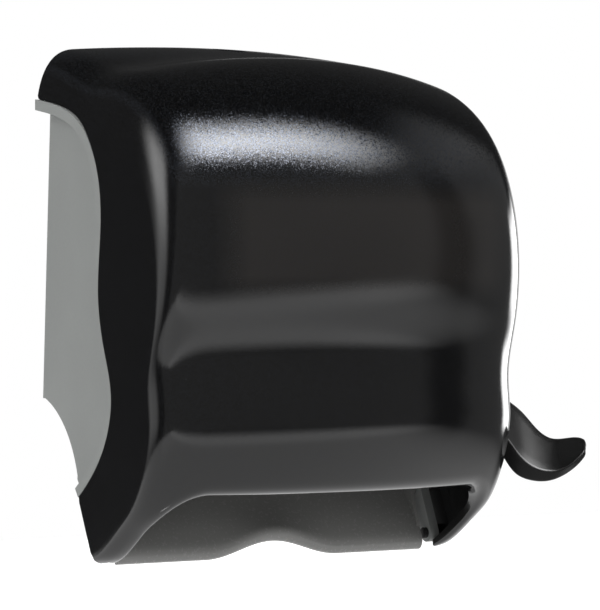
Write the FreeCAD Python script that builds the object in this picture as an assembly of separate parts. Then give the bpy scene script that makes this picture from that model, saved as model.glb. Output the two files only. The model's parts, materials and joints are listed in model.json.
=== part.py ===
"""Lever paper towel dispenser for a wall: a moulded chassis, a see-through cover and a lever-driven feed.

Millimetres. X runs to the right, Y runs back into the wall, Z is up. Sizes are worked out from the lowest edge of
the cover (z = 0) and the wall plane (y = 0); export() moves the origin to the middle of the wall screws.
"""
import FreeCAD, Part
import math
import os

Vec = FreeCAD.Vector

# ---------------------------------------------------------------- driving dimensions
body_width = 254.0          # across the cover, without the lever
body_height = 326.0         # lowest edge of the cover to the top at the wall
body_depth = 214.0          # wall to the fullest point of the cover
wall_gap = 0.5              # the cover stands this far off the wall
cover_wall = 2.6
chassis_wall = 2.8
back_plate = 3.0
part_gap = 0.4              # between pieces that move past each other
running_gap = 0.06          # radial clearance of a shaft in its bush

# cover profile, seen from the side
bulge_height = 192.3        # height of the fullest point
crown_run = 147.3           # from the fullest point back to where the top turns level
crown_power = 0.825          # below 1 the crown is fuller than an ellipse
top_fall = 11.4              # the top falls this much from the wall to where it turns down
front_crown = 1.55           # the top is rounder across by this share at the front than at the wall
waist_height = 124.0
waist_inset = 14.0          # how far the waist lies behind the fullest point
chin_height = 93.0
chin_inset = 11.8
nose_run = 102.0            # the chin curls under over this depth
corner_run = 26.0           # width of the rounded edge between the front panel and a side
corner_drop = 21.0          # how far that edge runs back along the side
panel_bow = 224.0           # radius of the front panel, seen from above
top_bow = 1111.0            # radius of the top, seen from the front
corner_top_drop = 50.3
corner_low_rise = 4.0       # the lowest edge is this much higher at the sides
bottom_round_height = 50.0  # below this height the sides rise instead of falling

# opening under the chin
mouth_half = 115.0
mouth_height = 46.5
mouth_radius = 24.0
mouth_roll = 5.0            # radius of the edge that rolls into the opening
mouth_flange = 16.0         # the rolled edge turns in by this much
mouth_flange_wall = 2.4

# chassis
plate_top = 314.0
plate_top_half = 96.0
plate_foot = 101.0          # lower edge of the wall plate
side_half_high = 116.4      # half width of the side walls at side_high
side_high = 280.0
side_slope = 0.0278         # the walls lean out by this much per millimetre down
rim_band = 7.0
tongue = 4.0                # the side walls reach this far inside the cover
screw_row_height = 196.0    # middle of the four wall screws
screw_spread_x = 150.0
screw_spread_z = 110.0
screw_hole_r = 2.75
screw_boss_r = 8.0
screw_boss_height = 1.6

# cover hinge
hinge_setback = 18.2        # behind the foot of the chin's curve
hinge_z = 11.0
hinge_pin_r = 2.0
hinge_boss_r = 5.4
hinge_ear_r = 6.0
ear_inner = 114.0
ear_outer = 120.2

# lever
lever_y = -72.0
lever_z = 100.0
lever_shaft_r = 5.0
lever_travel = 38.0
hub_r = 13.0
hub_outer_x = 133.4

# gears
gear_module = 1.25
pinion_teeth = 16
full_sector_teeth = 64
gear_face = 6.0
gear_backlash = 0.22
drive_angle = 203.5         # direction from the lever axis to the drive roller, seen from the right

# feed
frame_inner = 102.4         # inner faces of the two side frames
frame_wall = 3.0
drive_shaft_r = 4.0
drum_r = 16.0
drive_roller_r = 19.0
sleeve_length = 32.0
sleeve_pitch = 62.0
pressure_roller_r = 9.0
pressure_shaft_r = 3.0
nip_gap = 0.3
pressure_angle = -40.0      # direction from the drive roller to the pressure roller
feed_wheel_r = 24.0
feed_wheel_width = 7.0
blade_thickness = 1.2
blade_depth = 24.0
tooth_pitch = 3.5
tooth_height = 3.0

# roll holders
roll_y = -105.0
roll_z = 208.0
roll_width = 203.0
arm_wall = 3.6
arm_rib = 1.5
arm_end_r = 17.0
core_plug_r = 17.5
core_plug_length = 7.0
hub_flange_r = 25.0
hub_flange = 1.6
arm_travel = 4.2
arm_pin_x = 105.6
arm_pin_y = -11.0
arm_pin_r = 2.0

# lock
lock_y = -24.0
barrel_r = 8.0
cam_reach = 18.0
cam_width = 8.0

# ---------------------------------------------------------------- small tools


def box(x0, x1, y0, y1, z0, z1):
    return Part.makeBox(x1 - x0, y1 - y0, z1 - z0, Vec(x0, y0, z0))


def rod_x(radius, x0, x1, y, z):
    return Part.makeCylinder(radius, x1 - x0, Vec(x0, y, z), Vec(1, 0, 0))


def rod_y(radius, y0, y1, x, z):
    return Part.makeCylinder(radius, y1 - y0, Vec(x, y0, z), Vec(0, 1, 0))


def rod_z(radius, z0, z1, x, y):
    return Part.makeCylinder(radius, z1 - z0, Vec(x, y, z0), Vec(0, 0, 1))


def ring_x(outer, inner, x0, x1, y, z):
    return rod_x(outer, x0, x1, y, z).cut(rod_x(inner, x0 - 1, x1 + 1, y, z))


def coil_path(centre, axis, side, coil_r, pitch, turns):
    """Points along a helix about an axis, from the given side of its centre."""
    across = axis.cross(side)
    steps = int(turns * 16)
    points = []
    for step in range(steps + 1):
        angle = step / 16 * 2 * math.pi
        radial = side * math.cos(angle) + across * math.sin(angle)
        points.append(centre + radial * coil_r + axis * (pitch * step / 16))
    return points


def bent_wire(path, wire_r):
    """Round wire along a path of points, drawn with eight flats."""
    sections = []
    side = Vec(0.31, 0.17, 0.93)
    for index, point in enumerate(path):
        before = path[max(index - 1, 0)]
        after = path[min(index + 1, len(path) - 1)]
        along = (after - before).normalize()
        side = (side - along * side.dot(along)).normalize()
        across = along.cross(side)
        corners = []
        for flat in range(8):
            angle = flat * math.pi / 4
            corners.append(point + side * (wire_r * math.cos(angle)) + across * (wire_r * math.sin(angle)))
        sections.append(Part.makePolygon(corners + corners[:1]))
    return Part.makeLoft(sections, True, True)


def join(shapes):
    """One solid from several that touch or overlap."""
    whole = shapes[0]
    if len(shapes) > 1:
        whole = whole.fuse(shapes[1:])
    return whole.removeSplitter()


def group(shapes):
    """Separate solids that are kept as one node."""
    return Part.makeCompound(shapes)


def mirror_x(shape):
    return shape.mirror(Vec(0, 0, 0), Vec(1, 0, 0))


def side_prism(edges, x0, x1):
    """A flat outline in the side view, drawn at x = 0, made solid from x0 to x1."""
    face = Part.Face(Part.Wire(edges))
    face.translate(Vec(x0, 0, 0))
    return face.extrude(Vec(x1 - x0, 0, 0))


def side_polygon(points, x0, x1):
    corners = [Vec(0, y, z) for y, z in points]
    return side_prism(Part.makePolygon(corners + corners[:1]).Edges, x0, x1)


def front_polygon(points, y0, y1):
    corners = [Vec(x, y0, z) for x, z in points]
    return Part.Face(Part.makePolygon(corners + corners[:1])).extrude(Vec(0, y1 - y0, 0))


def link(first, first_r, last, last_r, x0, x1):
    """A flat bar with round ends of two sizes, as in a side frame; ends are (y, z)."""
    dy = last[0] - first[0]
    dz = last[1] - first[1]
    reach = math.hypot(dy, dz)
    heading = math.atan2(dz, dy)
    lean = math.acos((first_r - last_r) / reach)
    corners = []
    for centre, radius, side in ((first, first_r, 1), (last, last_r, 1), (last, last_r, -1), (first, first_r, -1)):
        angle = heading + side * lean
        corners.append((centre[0] + radius * math.cos(angle), centre[1] + radius * math.sin(angle)))
    bar = side_polygon(corners, x0, x1)
    return join([bar, rod_x(first_r, x0, x1, *first), rod_x(last_r, x0, x1, *last)])


def spline(points, x=0.0):
    curve = Part.BSplineCurve()
    curve.interpolate([Vec(x, y, z) for y, z in points])
    return curve


def offset_points(points, distance):
    """Moves each point of an open outline sideways; positive is to the left of the way it runs."""
    moved = []
    for index, (y, z) in enumerate(points):
        before = points[max(index - 1, 0)]
        after = points[min(index + 1, len(points) - 1)]
        run_y = after[0] - before[0]
        run_z = after[1] - before[1]
        length = math.hypot(run_y, run_z)
        moved.append((y - run_z / length * distance, z + run_y / length * distance))
    return moved


def on_circle(centre, radius, degrees):
    angle = math.radians(degrees)
    return (centre[0] + radius * math.cos(angle), centre[1] + radius * math.sin(angle))


# ---------------------------------------------------------------- shared places
half_width = body_width / 2
hinge_y = hinge_setback - (body_depth - chin_inset - nose_run)
lever_axis = (lever_y, lever_z)
sector_r = gear_module * full_sector_teeth / 2
pinion_r = gear_module * pinion_teeth / 2
drive_axis = on_circle(lever_axis, sector_r + pinion_r, drive_angle)
roller_reach = drive_roller_r + pressure_roller_r + nip_gap
pressure_axis = on_circle(drive_axis, roller_reach, pressure_angle)
frame_outer = frame_inner + frame_wall
gear_x0 = frame_outer + 1.0
gear_x1 = gear_x0 + gear_face
front_mount = (lever_y + 12.0, lever_z - 42.0)
rear_mount = (lever_y + 42.0, lever_z + 12.0)
blade_mount = (drive_axis[0] - 23.0, drive_axis[1] - 15.0)


def side_half(height):
    """Half width over the chassis side walls at a height."""
    return side_half_high + (side_high - height) * side_slope


def profile_points():
    """The cover's outline from the wall over the top, down the front and under the chin."""
    crown_centre = -(body_depth - crown_run)
    crown_rise = body_height - top_fall - bulge_height
    points = [(0.0, body_height), (crown_centre / 2, body_height - top_fall * 0.38)]
    for degrees in (90, 75, 60, 45, 30, 15, 0):
        angle = math.radians(degrees)
        across = math.cos(angle) ** crown_power if degrees < 90 else 0.0
        up = math.sin(angle) ** crown_power
        points.append((crown_centre - crown_run * across, bulge_height + crown_rise * up))
    waist = -(body_depth - waist_inset)
    chin = -(body_depth - chin_inset)
    points.append(((waist - body_depth) / 2 - 2.0, (bulge_height + waist_height) / 2 + 4.0))
    points.append((waist, waist_height))
    points.append((chin, chin_height))
    # under the chin the curve runs back in a long slope: shares of the depth and of the height
    for run, fall in ((0.03, 0.17), (0.145, 0.44), (0.29, 0.625), (0.455, 0.74), (0.665, 0.87), (0.85, 0.96)):
        points.append((chin + nose_run * run, chin_height * (1 - fall)))
    points.append((chin + nose_run + 4.0, 0.0))
    points.append((chin + nose_run + 40.0, 0.0))
    points.append((0.0, 0.0))
    return points


def rim_points():
    """The wavy line where the cover's sides meet the chassis, from the wall down to the tail."""
    return [(4.0, 289.5), (-30.0, 283.3), (-62.0, 270.5), (-84.0, 245.0), (-91.0, 213.0), (-87.5, 165.0),
            (-95.0, 133.0), (-104.5, 104.0), (-97.0, 76.0), (-81.0, 56.5), (-60.5, 40.7)]


# ---------------------------------------------------------------- cover


def envelope(inset):
    """The closed body inside the cover's surface: the side profile swept across a bowed, round-cornered width.

    Every point of the profile is drawn in towards the wall, and towards bottom_round_height, by the same two
    curves of x, so one spline surface holds the front, the top and all the rounded edges.
    """
    outline = profile_points()
    if inset:
        outline = offset_points(outline, inset)
        outline[0] = (inset * 3, outline[0][1] + inset * 0.2)
        outline[-1] = (inset * 3, outline[-1][1])
    side = spline(outline)
    half = half_width - inset
    panel_half = half_width - corner_run
    span = panel_half / 2
    run = corner_run - inset

    def drops(bow, drop):
        edge = (panel_half ** 2 / 2 + panel_half * run) / bow
        quarter = [edge + drop - inset, edge, panel_half * span / (2 * bow), 0.0]
        return quarter + quarter[::-1]

    across = [-half, -half, -1.5 * span, -0.5 * span, 0.5 * span, 1.5 * span, half, half]
    front_drops = drops(panel_bow, corner_drop)
    top_drops = drops(top_bow, corner_top_drop)
    top_edge = top_drops[1]
    low_rises = [drop * corner_low_rise / top_drops[0] for drop in top_drops]
    depth = body_depth - inset
    rise = body_height - inset - bottom_round_height
    sink = bottom_round_height - inset
    poles = []
    for pole in side.getPoles():
        row = []
        rounder = 1 + front_crown * min(max(-pole.y / 100.0, 0.0), 1.0)
        for x, front_drop, top_drop, low_rise in zip(across, front_drops, top_drops, low_rises):
            y = pole.y * (1 - front_drop / depth) if pole.y < 0 else pole.y
            above = pole.z - bottom_round_height
            crowned = min(top_drop, top_edge) * rounder + max(top_drop - top_edge, 0.0)
            shrink = crowned / rise if above > 0 else low_rise / sink
            row.append(Vec(x, y, bottom_round_height + above * (1 - shrink)))
        poles.append(row)
    corner_span = 2 * run
    knots = [0.0, corner_span]
    for step in range(4):
        knots.append(knots[-1] + span)
    knots.append(knots[-1] + corner_span)
    surface = Part.BSplineSurface()
    surface.buildFromPolesMultsKnots(poles, side.getMultiplicities(), [3, 1, 1, 1, 1, 1, 3], side.getKnots(),
                                     knots, False, False, side.Degree, 2)
    skin = surface.toShape()
    faces = [skin]
    ends = {}
    for edge in skin.Edges:
        middle = edge.BoundBox.Center
        if abs(middle.x) > half - 0.01:
            ends["right" if middle.x > 0 else "left"] = edge
        elif middle.z > body_height / 2:
            ends["top"] = edge
        else:
            ends["bottom"] = edge
    corners = {}
    for name in ("left", "right"):
        rear = sorted((vertex.Point for vertex in ends[name].Vertexes), key=lambda point: point.z)
        corners[name] = Part.makeLine(rear[0], rear[1])
        faces.append(Part.Face(Part.Wire([ends[name], corners[name]])))
    rear_wire = Part.Wire(Part.__sortEdges__([ends["top"], corners["left"], ends["bottom"], corners["right"]]))
    faces.append(Part.Face(rear_wire))
    shell = Part.makeShell(faces)
    shell.sewShape()
    solid = Part.makeSolid(shell)
    if solid.Volume < 0:
        solid.reverse()
    return solid


def mouth(grow, y0, y1):
    """The arched opening under the chin as a prism along Y."""
    half = mouth_half + grow
    top = mouth_height + grow
    radius = mouth_radius + grow
    low = -10.0
    diagonal = radius * (1 - math.sqrt(0.5))
    points = [Vec(-half, y0, low), Vec(-half, y0, top - radius), Vec(-half + radius, y0, top),
              Vec(half - radius, y0, top), Vec(half, y0, top - radius), Vec(half, y0, low)]
    edges = [Part.makeLine(points[0], points[1]),
             Part.Arc(points[1], Vec(-half + diagonal, y0, top - diagonal), points[2]).toShape(),
             Part.makeLine(points[2], points[3]),
             Part.Arc(points[3], Vec(half - diagonal, y0, top - diagonal), points[4]).toShape(),
             Part.makeLine(points[4], points[5]),
             Part.makeLine(points[5], points[0])]
    return Part.Face(Part.Wire(edges)).extrude(Vec(0, y1 - y0, 0))


def behind_rim():
    """Everything behind the cover's rear edge: the wavy rim, the tail and the round hinge cheek."""
    rim = rim_points()
    tail = rim[-1]
    boss = (hinge_y, hinge_z)
    reach = math.hypot(tail[0] - hinge_y, tail[1] - hinge_z)
    heading = math.degrees(math.atan2(tail[1] - hinge_z, tail[0] - hinge_y))
    rear = on_circle(boss, hinge_boss_r, heading - math.degrees(math.acos(hinge_boss_r / reach)))
    low = on_circle(boss, hinge_boss_r, -78)
    turn = on_circle(boss, hinge_boss_r, -40)
    edges = [spline(rim).toShape(),
             Part.makeLine(Vec(0, *tail), Vec(0, *rear)),
             Part.Arc(Vec(0, *rear), Vec(0, *turn), Vec(0, *low)).toShape(),
             Part.makeLine(Vec(0, *low), Vec(0, low[0], -20)),
             Part.makeLine(Vec(0, low[0], -20), Vec(0, 30, -20)),
             Part.makeLine(Vec(0, 30, -20), Vec(0, 30, rim[0][1])),
             Part.makeLine(Vec(0, 30, rim[0][1]), Vec(0, *rim[0]))]
    wide = half_width + 10
    return side_prism(edges, -wide, wide)


def rolled_mouth(body, grow, radius):
    """A body with the opening cut through it and the opening's front edge rounded."""
    wide = half_width + 10
    body = body.cut(box(-wide, wide, hinge_y + hinge_boss_r + 1.6, 40, -50, hinge_z))
    body = body.cut(mouth(grow, -body_depth - 5, 40))
    half = mouth_half + grow
    top = mouth_height + grow
    corner = mouth_radius + grow
    edges = []
    for edge in body.Edges:
        bounds = edge.BoundBox
        middle = edge.valueAt((edge.FirstParameter + edge.LastParameter) / 2)
        beyond = max(abs(middle.x) - half + corner, 0.0)
        above = max(middle.z - top + corner, 0.0)
        on_arch = abs(math.hypot(beyond, above) - corner) < 0.05
        runs_back = bounds.XLength < 0.01 and bounds.ZLength < 0.01
        if on_arch and not runs_back and bounds.YLength > 0.01 and bounds.YMin < hinge_y:
            edges.append(edge)
    return body.makeFillet(radius, edges)


def make_cover():
    outer = envelope(0.0)
    inner = envelope(cover_wall)
    # the edge of the opening rolls in and runs back as a flange
    shell = rolled_mouth(outer, 0.0, mouth_roll)
    shell = shell.cut(rolled_mouth(inner, mouth_flange_wall, mouth_roll - mouth_flange_wall - 0.1))
    deeper = outer.copy()
    deeper.translate(Vec(0, mouth_flange, 0))
    shell = shell.cut(mouth(mouth_flange_wall + 0.05, -body_depth, 40).common(deeper))
    shell = shell.cut(behind_rim())
    shell = shell.cut(box(-half_width - 5, half_width + 5, -wall_gap, 40, -20, body_height + 10))
    # room for the ears that carry the hinge pins
    ear_room = box(-ear_outer - part_gap, ear_outer + part_gap, hinge_y - hinge_ear_r - part_gap, 40, -20, mouth_height)
    shell = shell.cut(ear_room)
    pieces = [shell]
    # round cheeks with blind bores turn on the hinge pins
    cheek_in = ear_outer + part_gap
    for side in (1, -1):
        cheek = rod_x(hinge_boss_r, cheek_in, half_width - cover_wall / 2, hinge_y, hinge_z)
        cheek = cheek.common(outer)
        pieces.append(cheek if side == 1 else mirror_x(cheek))
    # pad under the lock barrel
    pad = rod_z(barrel_r + 4.5, pad_low, body_height + 5, 0, lock_y).common(outer)
    pieces.append(pad)
    # two ribs stiffen the inside of the top
    for x in (-62.0, 62.0):
        rib = box(x - 0.9, x + 0.9, -60, -10, body_height - 16, body_height).common(outer)
        pieces.append(rib)
    cover = join(pieces)
    bore = rod_x(hinge_pin_r + running_gap, cheek_in - 1, ear_outer + part_gap + 3.9, hinge_y, hinge_z)
    cover = cover.cut(bore).cut(mirror_x(bore))
    cover = cover.cut(rod_z(barrel_r, body_height - 40, body_height + 10, 0, lock_y))
    seat = rod_z(barrel_r + 2.5, lock_seat, body_height + 10, 0, lock_y)
    return cover.cut(seat)


# ---------------------------------------------------------------- chassis


def rim_region(shift, rear_edges):
    """Side outline of the chassis: the rim, moved forward by shift, closed by the rear edges."""
    rim = offset_points(rim_points(), -shift)
    front = spline(rim).toShape()
    first = Vec(0, *rim[0])
    last = Vec(0, *rim[-1])
    return [front] + rear_edges(first, last)


def tub_rear(first, last):
    """Rear edge of a side wall: up from the tail, round the hand room and up the wall plate."""
    foot = Vec(0, 0, plate_foot)
    elbow = Vec(0, -51.0, 54.0)
    middle = Vec(0, -30.0, 84.5)
    tail = Vec(0, -51.0, 51.5)
    behind = Vec(0, first.y, plate_foot)
    return [Part.makeLine(last, tail), Part.makeLine(tail, elbow), Part.Arc(elbow, middle, foot).toShape(),
            Part.makeLine(foot, behind), Part.makeLine(behind, first)]


def leaning_block(inset):
    """A block between the two leaning side walls, from the bottom to the top of the rim."""
    low = 0.0
    high = 300.0
    return front_polygon([(-side_half(low) + inset, low), (side_half(low) - inset, low),
                          (side_half(high) - inset, high), (-side_half(high) + inset, high)], -200, 10)


def rounded_plate(half, low, high, radius, y0, y1):
    plate = box(-half, half, y0, y1, low, high)
    corners = [edge for edge in plate.Edges
               if abs(edge.Vertexes[0].Z - high) < 0.01 and abs(edge.Vertexes[-1].Z - high) < 0.01
               and edge.BoundBox.YLength > 0.5]
    return plate.makeFillet(radius, corners)


def make_chassis():
    behind_wall = box(-half_width - 5, half_width + 5, 0, 20, -20, body_height + 20)
    outline = side_prism(rim_region(tongue, tub_rear), -half_width - 5, half_width + 5)
    tub = outline.common(leaning_block(0.0)).cut(leaning_block(chassis_wall))
    # lower rear panel: the hand room's curve, between the side walls
    elbow = Vec(0, -51.0, 54.0)
    middle = Vec(0, -30.0, 84.5)
    foot = Vec(0, 0.0, plate_foot)
    curve = Part.Arc(elbow, middle, foot).toShape()
    inner = curve.copy()
    slope = math.hypot(51.0, plate_foot - 54.0)
    step = Vec(0, -(plate_foot - 54.0) / slope, 51.0 / slope) * chassis_wall
    inner.translate(step)
    panel = side_prism([curve, Part.makeLine(elbow, elbow + step), inner, Part.makeLine(foot + step, foot)],
                       -side_half(plate_foot) + 0.5, side_half(plate_foot) - 0.5)
    lower_half = side_half(rim_points()[0][1])
    plate = box(-lower_half, lower_half, -back_plate, 0, plate_foot - 1, rim_points()[0][1] - 1)
    upper = rounded_plate(plate_top_half, rim_points()[0][1] - 12, plate_top, 20.0, -back_plate, 0)
    shelf = rounded_plate(plate_top_half, rim_points()[0][1] - 12, plate_top, 20.0, -9.0, -back_plate + 0.5)
    shelf = shelf.cut(rounded_plate(plate_top_half - chassis_wall, rim_points()[0][1] - 20,
                                    plate_top - chassis_wall, 17.2, -30.0, 5.0))
    slope_plate = box(-side_half(plate_foot), side_half(plate_foot), -back_plate, 0, plate_foot - 1, 200)
    slope_plate = slope_plate.common(leaning_block(0.0))
    # rim: a band that stands out to the cover's own surface
    rim = rim_points()
    band_front = spline(rim)
    band_rear = spline(offset_points(rim, rim_band))
    front_first = Vec(0, *rim[0])
    front_last = Vec(0, *rim[-1])
    rear = offset_points(rim, rim_band)
    band_edges = [band_front.toShape(), Part.makeLine(front_last, Vec(0, *rear[-1])), band_rear.toShape(),
                  Part.makeLine(Vec(0, *rear[0]), front_first)]
    band = side_prism(band_edges, -half_width, half_width)
    band = band.cut(leaning_block(chassis_wall / 2))
    # the rim's front face keeps its gap to the cover
    gap_edge = offset_points(rim, -6.0)
    trim_edge = offset_points(rim, part_gap)
    trim = side_prism([spline(trim_edge).toShape(),
                       Part.makeLine(Vec(0, *trim_edge[-1]), Vec(0, *gap_edge[-1])), spline(gap_edge).toShape(),
                       Part.makeLine(Vec(0, *gap_edge[0]), Vec(0, *trim_edge[0]))],
                      -half_width - 5, half_width + 5)
    band = band.cut(trim)
    pieces = [tub, panel, plate, upper, shelf, slope_plate, band]
    # stiffening ribs on the front of the wall plate
    for x in (-50.0, 50.0):
        pieces.append(box(x - 0.9, x + 0.9, -back_plate - 5, -back_plate + 0.5, plate_foot + 6, plate_top - 2))
    for z in (150.0, 244.0):
        pieces.append(box(-100, 100, -back_plate - 3.5, -back_plate + 0.5, z - 0.9, z + 0.9))
    # bosses that the wall screws pull on
    for x in (-1, 1):
        for z in (-1, 1):
            pieces.append(rod_y(screw_boss_r, -back_plate - screw_boss_height - 4, -back_plate + 0.5,
                                x * screw_spread_x / 2, screw_row_height + z * screw_spread_z / 2))
    for side in (1, -1):
        group_side = []
        # bosses that carry the side frames
        for mount in (front_mount, rear_mount):
            group_side.append(rod_x(mount_boss_r, frame_outer, side_half(mount[1]) - 0.5, *mount))
        # ear that carries the cover's hinge pin
        group_side.append(link((hinge_y, hinge_z), hinge_ear_r, (-65.0, 45.0), 7.5, ear_inner, ear_outer))
        group_side.append(rod_x(7.5, ear_inner, side_half(45) - 0.5, -65.0, 45.0))
        for piece in group_side:
            pieces.append(piece if side == 1 else mirror_x(piece))
    chassis = join(pieces)
    # the ear's pins and pegs, the frame screws and the lever bush
    for side in (1, -1):
        cuts = [rod_x(hinge_pin_r, ear_inner - 1, ear_outer + 1, hinge_y, hinge_z),
                rod_x(1.6, frame_outer - 1, frame_outer + 9, *front_mount),
                rod_x(1.6, frame_outer - 1, frame_outer + 9, *rear_mount),
                rod_x(3.05, ear_inner - 1, ear_inner + 3.5, *chute_peg)]
        if side == 1:
            cuts.append(rod_x(bush_r, 110, 130, *lever_axis))
        for cutter in cuts:
            chassis = chassis.cut(cutter if side == 1 else mirror_x(cutter))
    for x in (-1, 1):
        for z in (-1, 1):
            chassis = chassis.cut(rod_y(screw_hole_r, -20, 5, x * screw_spread_x / 2,
                                        screw_row_height + z * screw_spread_z / 2))
    for x in (11, 19):
        chassis = chassis.cut(rod_y(1.6, -10, -0.4, x, cam_z0 - 10.5))
    # lugs for the roll arms
    lugs = []
    for side in (1, -1):
        for z0, z1 in ((roll_z - 18, roll_z - 13), (roll_z + 13, roll_z + 18)):
            lug = box(arm_pin_x - 5, arm_pin_x + 5, arm_pin_y, -back_plate + 0.5, z0, z1)
            lug = lug.fuse(rod_z(5.0, z0, z1, arm_pin_x, arm_pin_y))
            lug = lug.cut(rod_z(arm_pin_r, z0 - 1, z1 + 1, arm_pin_x, arm_pin_y))
            lugs.append(lug if side == 1 else mirror_x(lug))
    chassis = join([chassis] + lugs)
    return chassis.cut(behind_wall)


chute_peg = (-67.0, 38.0)
mount_boss_r = 5.0
bush_r = 7.5


def make_hinge_pins():
    pin = rod_x(hinge_pin_r, ear_inner - 1.0, ear_outer + part_gap + 3.5, hinge_y, hinge_z)
    head = rod_x(hinge_pin_r + 1.5, ear_inner - 2.2, ear_inner, hinge_y, hinge_z)
    right = join([pin, head])
    return group([right, mirror_x(right)])


# ---------------------------------------------------------------- chute


def chute_section(x, lift):
    """Closed section of the chin plate at one x; lift raises its rolled lower edge."""
    front = [(-58.2, 48.6), (-60.2, 43.6), (-63.6, 38.0), (-72.8, 25.0 + lift * 0.25), (-80.4, 14.0 + lift * 0.7),
             (-83.4, 6.0 + lift), (-81.6, 1.6 + lift), (-77.0, 0.4 + lift)]
    back = offset_points(front, 2.4)
    front_edge = spline(front, x).toShape()
    back_edge = spline(back, x).toShape()
    ends = [Part.makeLine(Vec(x, *front[-1]), Vec(x, *back[-1])), Part.makeLine(Vec(x, *back[0]), Vec(x, *front[0]))]
    return Part.Wire([front_edge, ends[0], back_edge, ends[1]])


def make_chute():
    half = ear_inner - 3.4
    relief_half = 48.0
    relief_height = 10.0
    stations = [-half, -80.0, -60.0, -relief_half, -34.0, -17.0, 0.0, 17.0, 34.0, relief_half, 60.0, 80.0, half]
    sections = []
    for x in stations:
        share = min(abs(x) / relief_half, 1.0)
        sections.append(chute_section(x, relief_height * (1 + math.cos(math.pi * share)) / 2))
    plate = Part.makeLoft(sections, True, False)
    pieces = [plate]
    for side in (1, -1):
        gusset = link(chute_peg, 5.0, (-76.0, 17.0), 4.0, half - 2.5, half)
        peg = rod_x(3.0, half - 1, ear_inner + 2.6, *chute_peg)
        for piece in (gusset, peg):
            pieces.append(piece if side == 1 else mirror_x(piece))
    return join(pieces)


# ---------------------------------------------------------------- side frames and feed


def frame_shape():
    """One side frame, seen from the right: links between the axes and the mounts."""
    x0, x1 = frame_inner, frame_outer
    bars = [link(lever_axis, 13.0, drive_axis, 11.0, x0, x1),
            link(lever_axis, 9.0, rear_mount, 7.0, x0, x1),
            link(lever_axis, 9.0, front_mount, 7.0, x0, x1),
            link(front_mount, 7.0, pressure_axis, 7.0, x0, x1),
            link(pressure_axis, 6.0, drive_axis, 9.0, x0, x1),
            link(drive_axis, 10.0, blade_mount, 8.0, x0, x1)]
    frame = join(bars)
    frame = frame.cut(rod_x(drive_bush_r, x0 - 1, x1 + 1, *drive_axis))
    frame = frame.cut(rod_x(pressure_shaft_r + running_gap, x0 - 1, x1 + 1, *pressure_axis))
    for mount in (front_mount, rear_mount, blade_mount):
        frame = frame.cut(rod_x(1.7, x0 - 1, x1 + 1, *mount))
    for peg in guide_pegs:
        frame = frame.cut(rod_x(guide_peg_r, x0 - 1, x0 + 2.3, *peg))
    return frame


drive_bush_r = 6.5
guide_peg_r = 1.3
guide_wall = 1.8
guide_line = [(-46.0, 121.0), (-62.0, 117.0), (-78.0, 108.0), (-88.0, 95.0), (-93.0, 84.0)]
guide_pegs = offset_points(guide_line, -guide_wall / 2)[2:4]


def make_frame_right():
    frame = frame_shape().cut(rod_x(lever_shaft_r + running_gap, frame_inner - 1, frame_outer + 1, *lever_axis))
    stop_at = on_circle(lever_axis, 30.0, bumper_angle)
    post = rod_x(2.0, frame_outer - 1.5, gear_x1 - 0.5, *stop_at)
    arm = link(lever_axis, 9.0, stop_at, 4.5, frame_inner, frame_outer)
    arm = arm.cut(rod_x(lever_shaft_r + running_gap, frame_inner - 1, frame_outer + 1, *lever_axis))
    frame = join([frame, arm, post])
    for peg in guide_pegs:
        frame = frame.cut(rod_x(guide_peg_r, frame_inner - 1, frame_inner + 2.3, *peg))
    return frame


def make_frame_left():
    return mirror_x(frame_shape())


def make_frame_screws():
    screws = []
    for mount in (front_mount, rear_mount):
        shank = rod_x(1.5, frame_inner - 0.5, frame_outer + 8, *mount)
        head = rod_x(3.0, frame_inner - 2.0, frame_inner, *mount)
        head = head.cut(box(frame_inner - 2.5, frame_inner - 1.2, mount[0] - 0.5, mount[0] + 0.5,
                            mount[1] - 2.2, mount[1] + 2.2))
        screws.append(join([shank, head]))
    return group(screws + [mirror_x(screw) for screw in screws])


def make_drive_bushes():
    sleeve = ring_x(drive_bush_r, drive_shaft_r + running_gap, frame_inner - 1.2, frame_outer, *drive_axis)
    collar = ring_x(drive_bush_r + 2.0, drive_shaft_r + running_gap, frame_inner - 1.2, frame_inner, *drive_axis)
    bush = join([sleeve, collar])
    return group([bush, mirror_x(bush)])


def make_drive_shaft():
    return rod_x(drive_shaft_r, -frame_outer - 9.6, gear_x1 + 5.4, *drive_axis)


def make_drive_drum():
    """Fluted plastic drum that the rubber sleeves grip."""
    half = frame_inner - 3.0
    drum = rod_x(drum_r, -half, half, *drive_axis)
    flutes = 12
    for index in range(flutes):
        centre = on_circle(drive_axis, drum_r, index * 360.0 / flutes)
        for x0, x1 in drum_gaps(half):
            drum = drum.cut(rod_x(2.2, x0, x1, *centre))
    return drum.cut(rod_x(drive_shaft_r, -half - 1, half + 1, *drive_axis))


def sleeve_starts():
    return [-sleeve_pitch - sleeve_length / 2, -sleeve_length / 2, sleeve_pitch - sleeve_length / 2]


def drum_gaps(half):
    """Stretches of the drum between the sleeves."""
    edges = [-half - 1]
    for start in sleeve_starts():
        edges += [start, start + sleeve_length]
    edges.append(half + 1)
    return [(edges[i] + 3, edges[i + 1] - 3) for i in range(0, len(edges), 2)]


def make_drive_sleeves():
    sleeves = []
    for start in sleeve_starts():
        sleeve = ring_x(drive_roller_r, drum_r, start, start + sleeve_length, *drive_axis)
        for ridge in range(5):
            x = start + 4 + ridge * (sleeve_length - 8) / 4
            sleeve = sleeve.cut(ring_x(drive_roller_r + 1, drive_roller_r - 0.5, x - 0.6, x + 0.6, *drive_axis))
        sleeves.append(sleeve)
    return group(sleeves)


def make_pressure_shaft():
    reach = frame_outer + 4.0
    return rod_x(pressure_shaft_r, -reach, reach, *pressure_axis)


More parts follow.
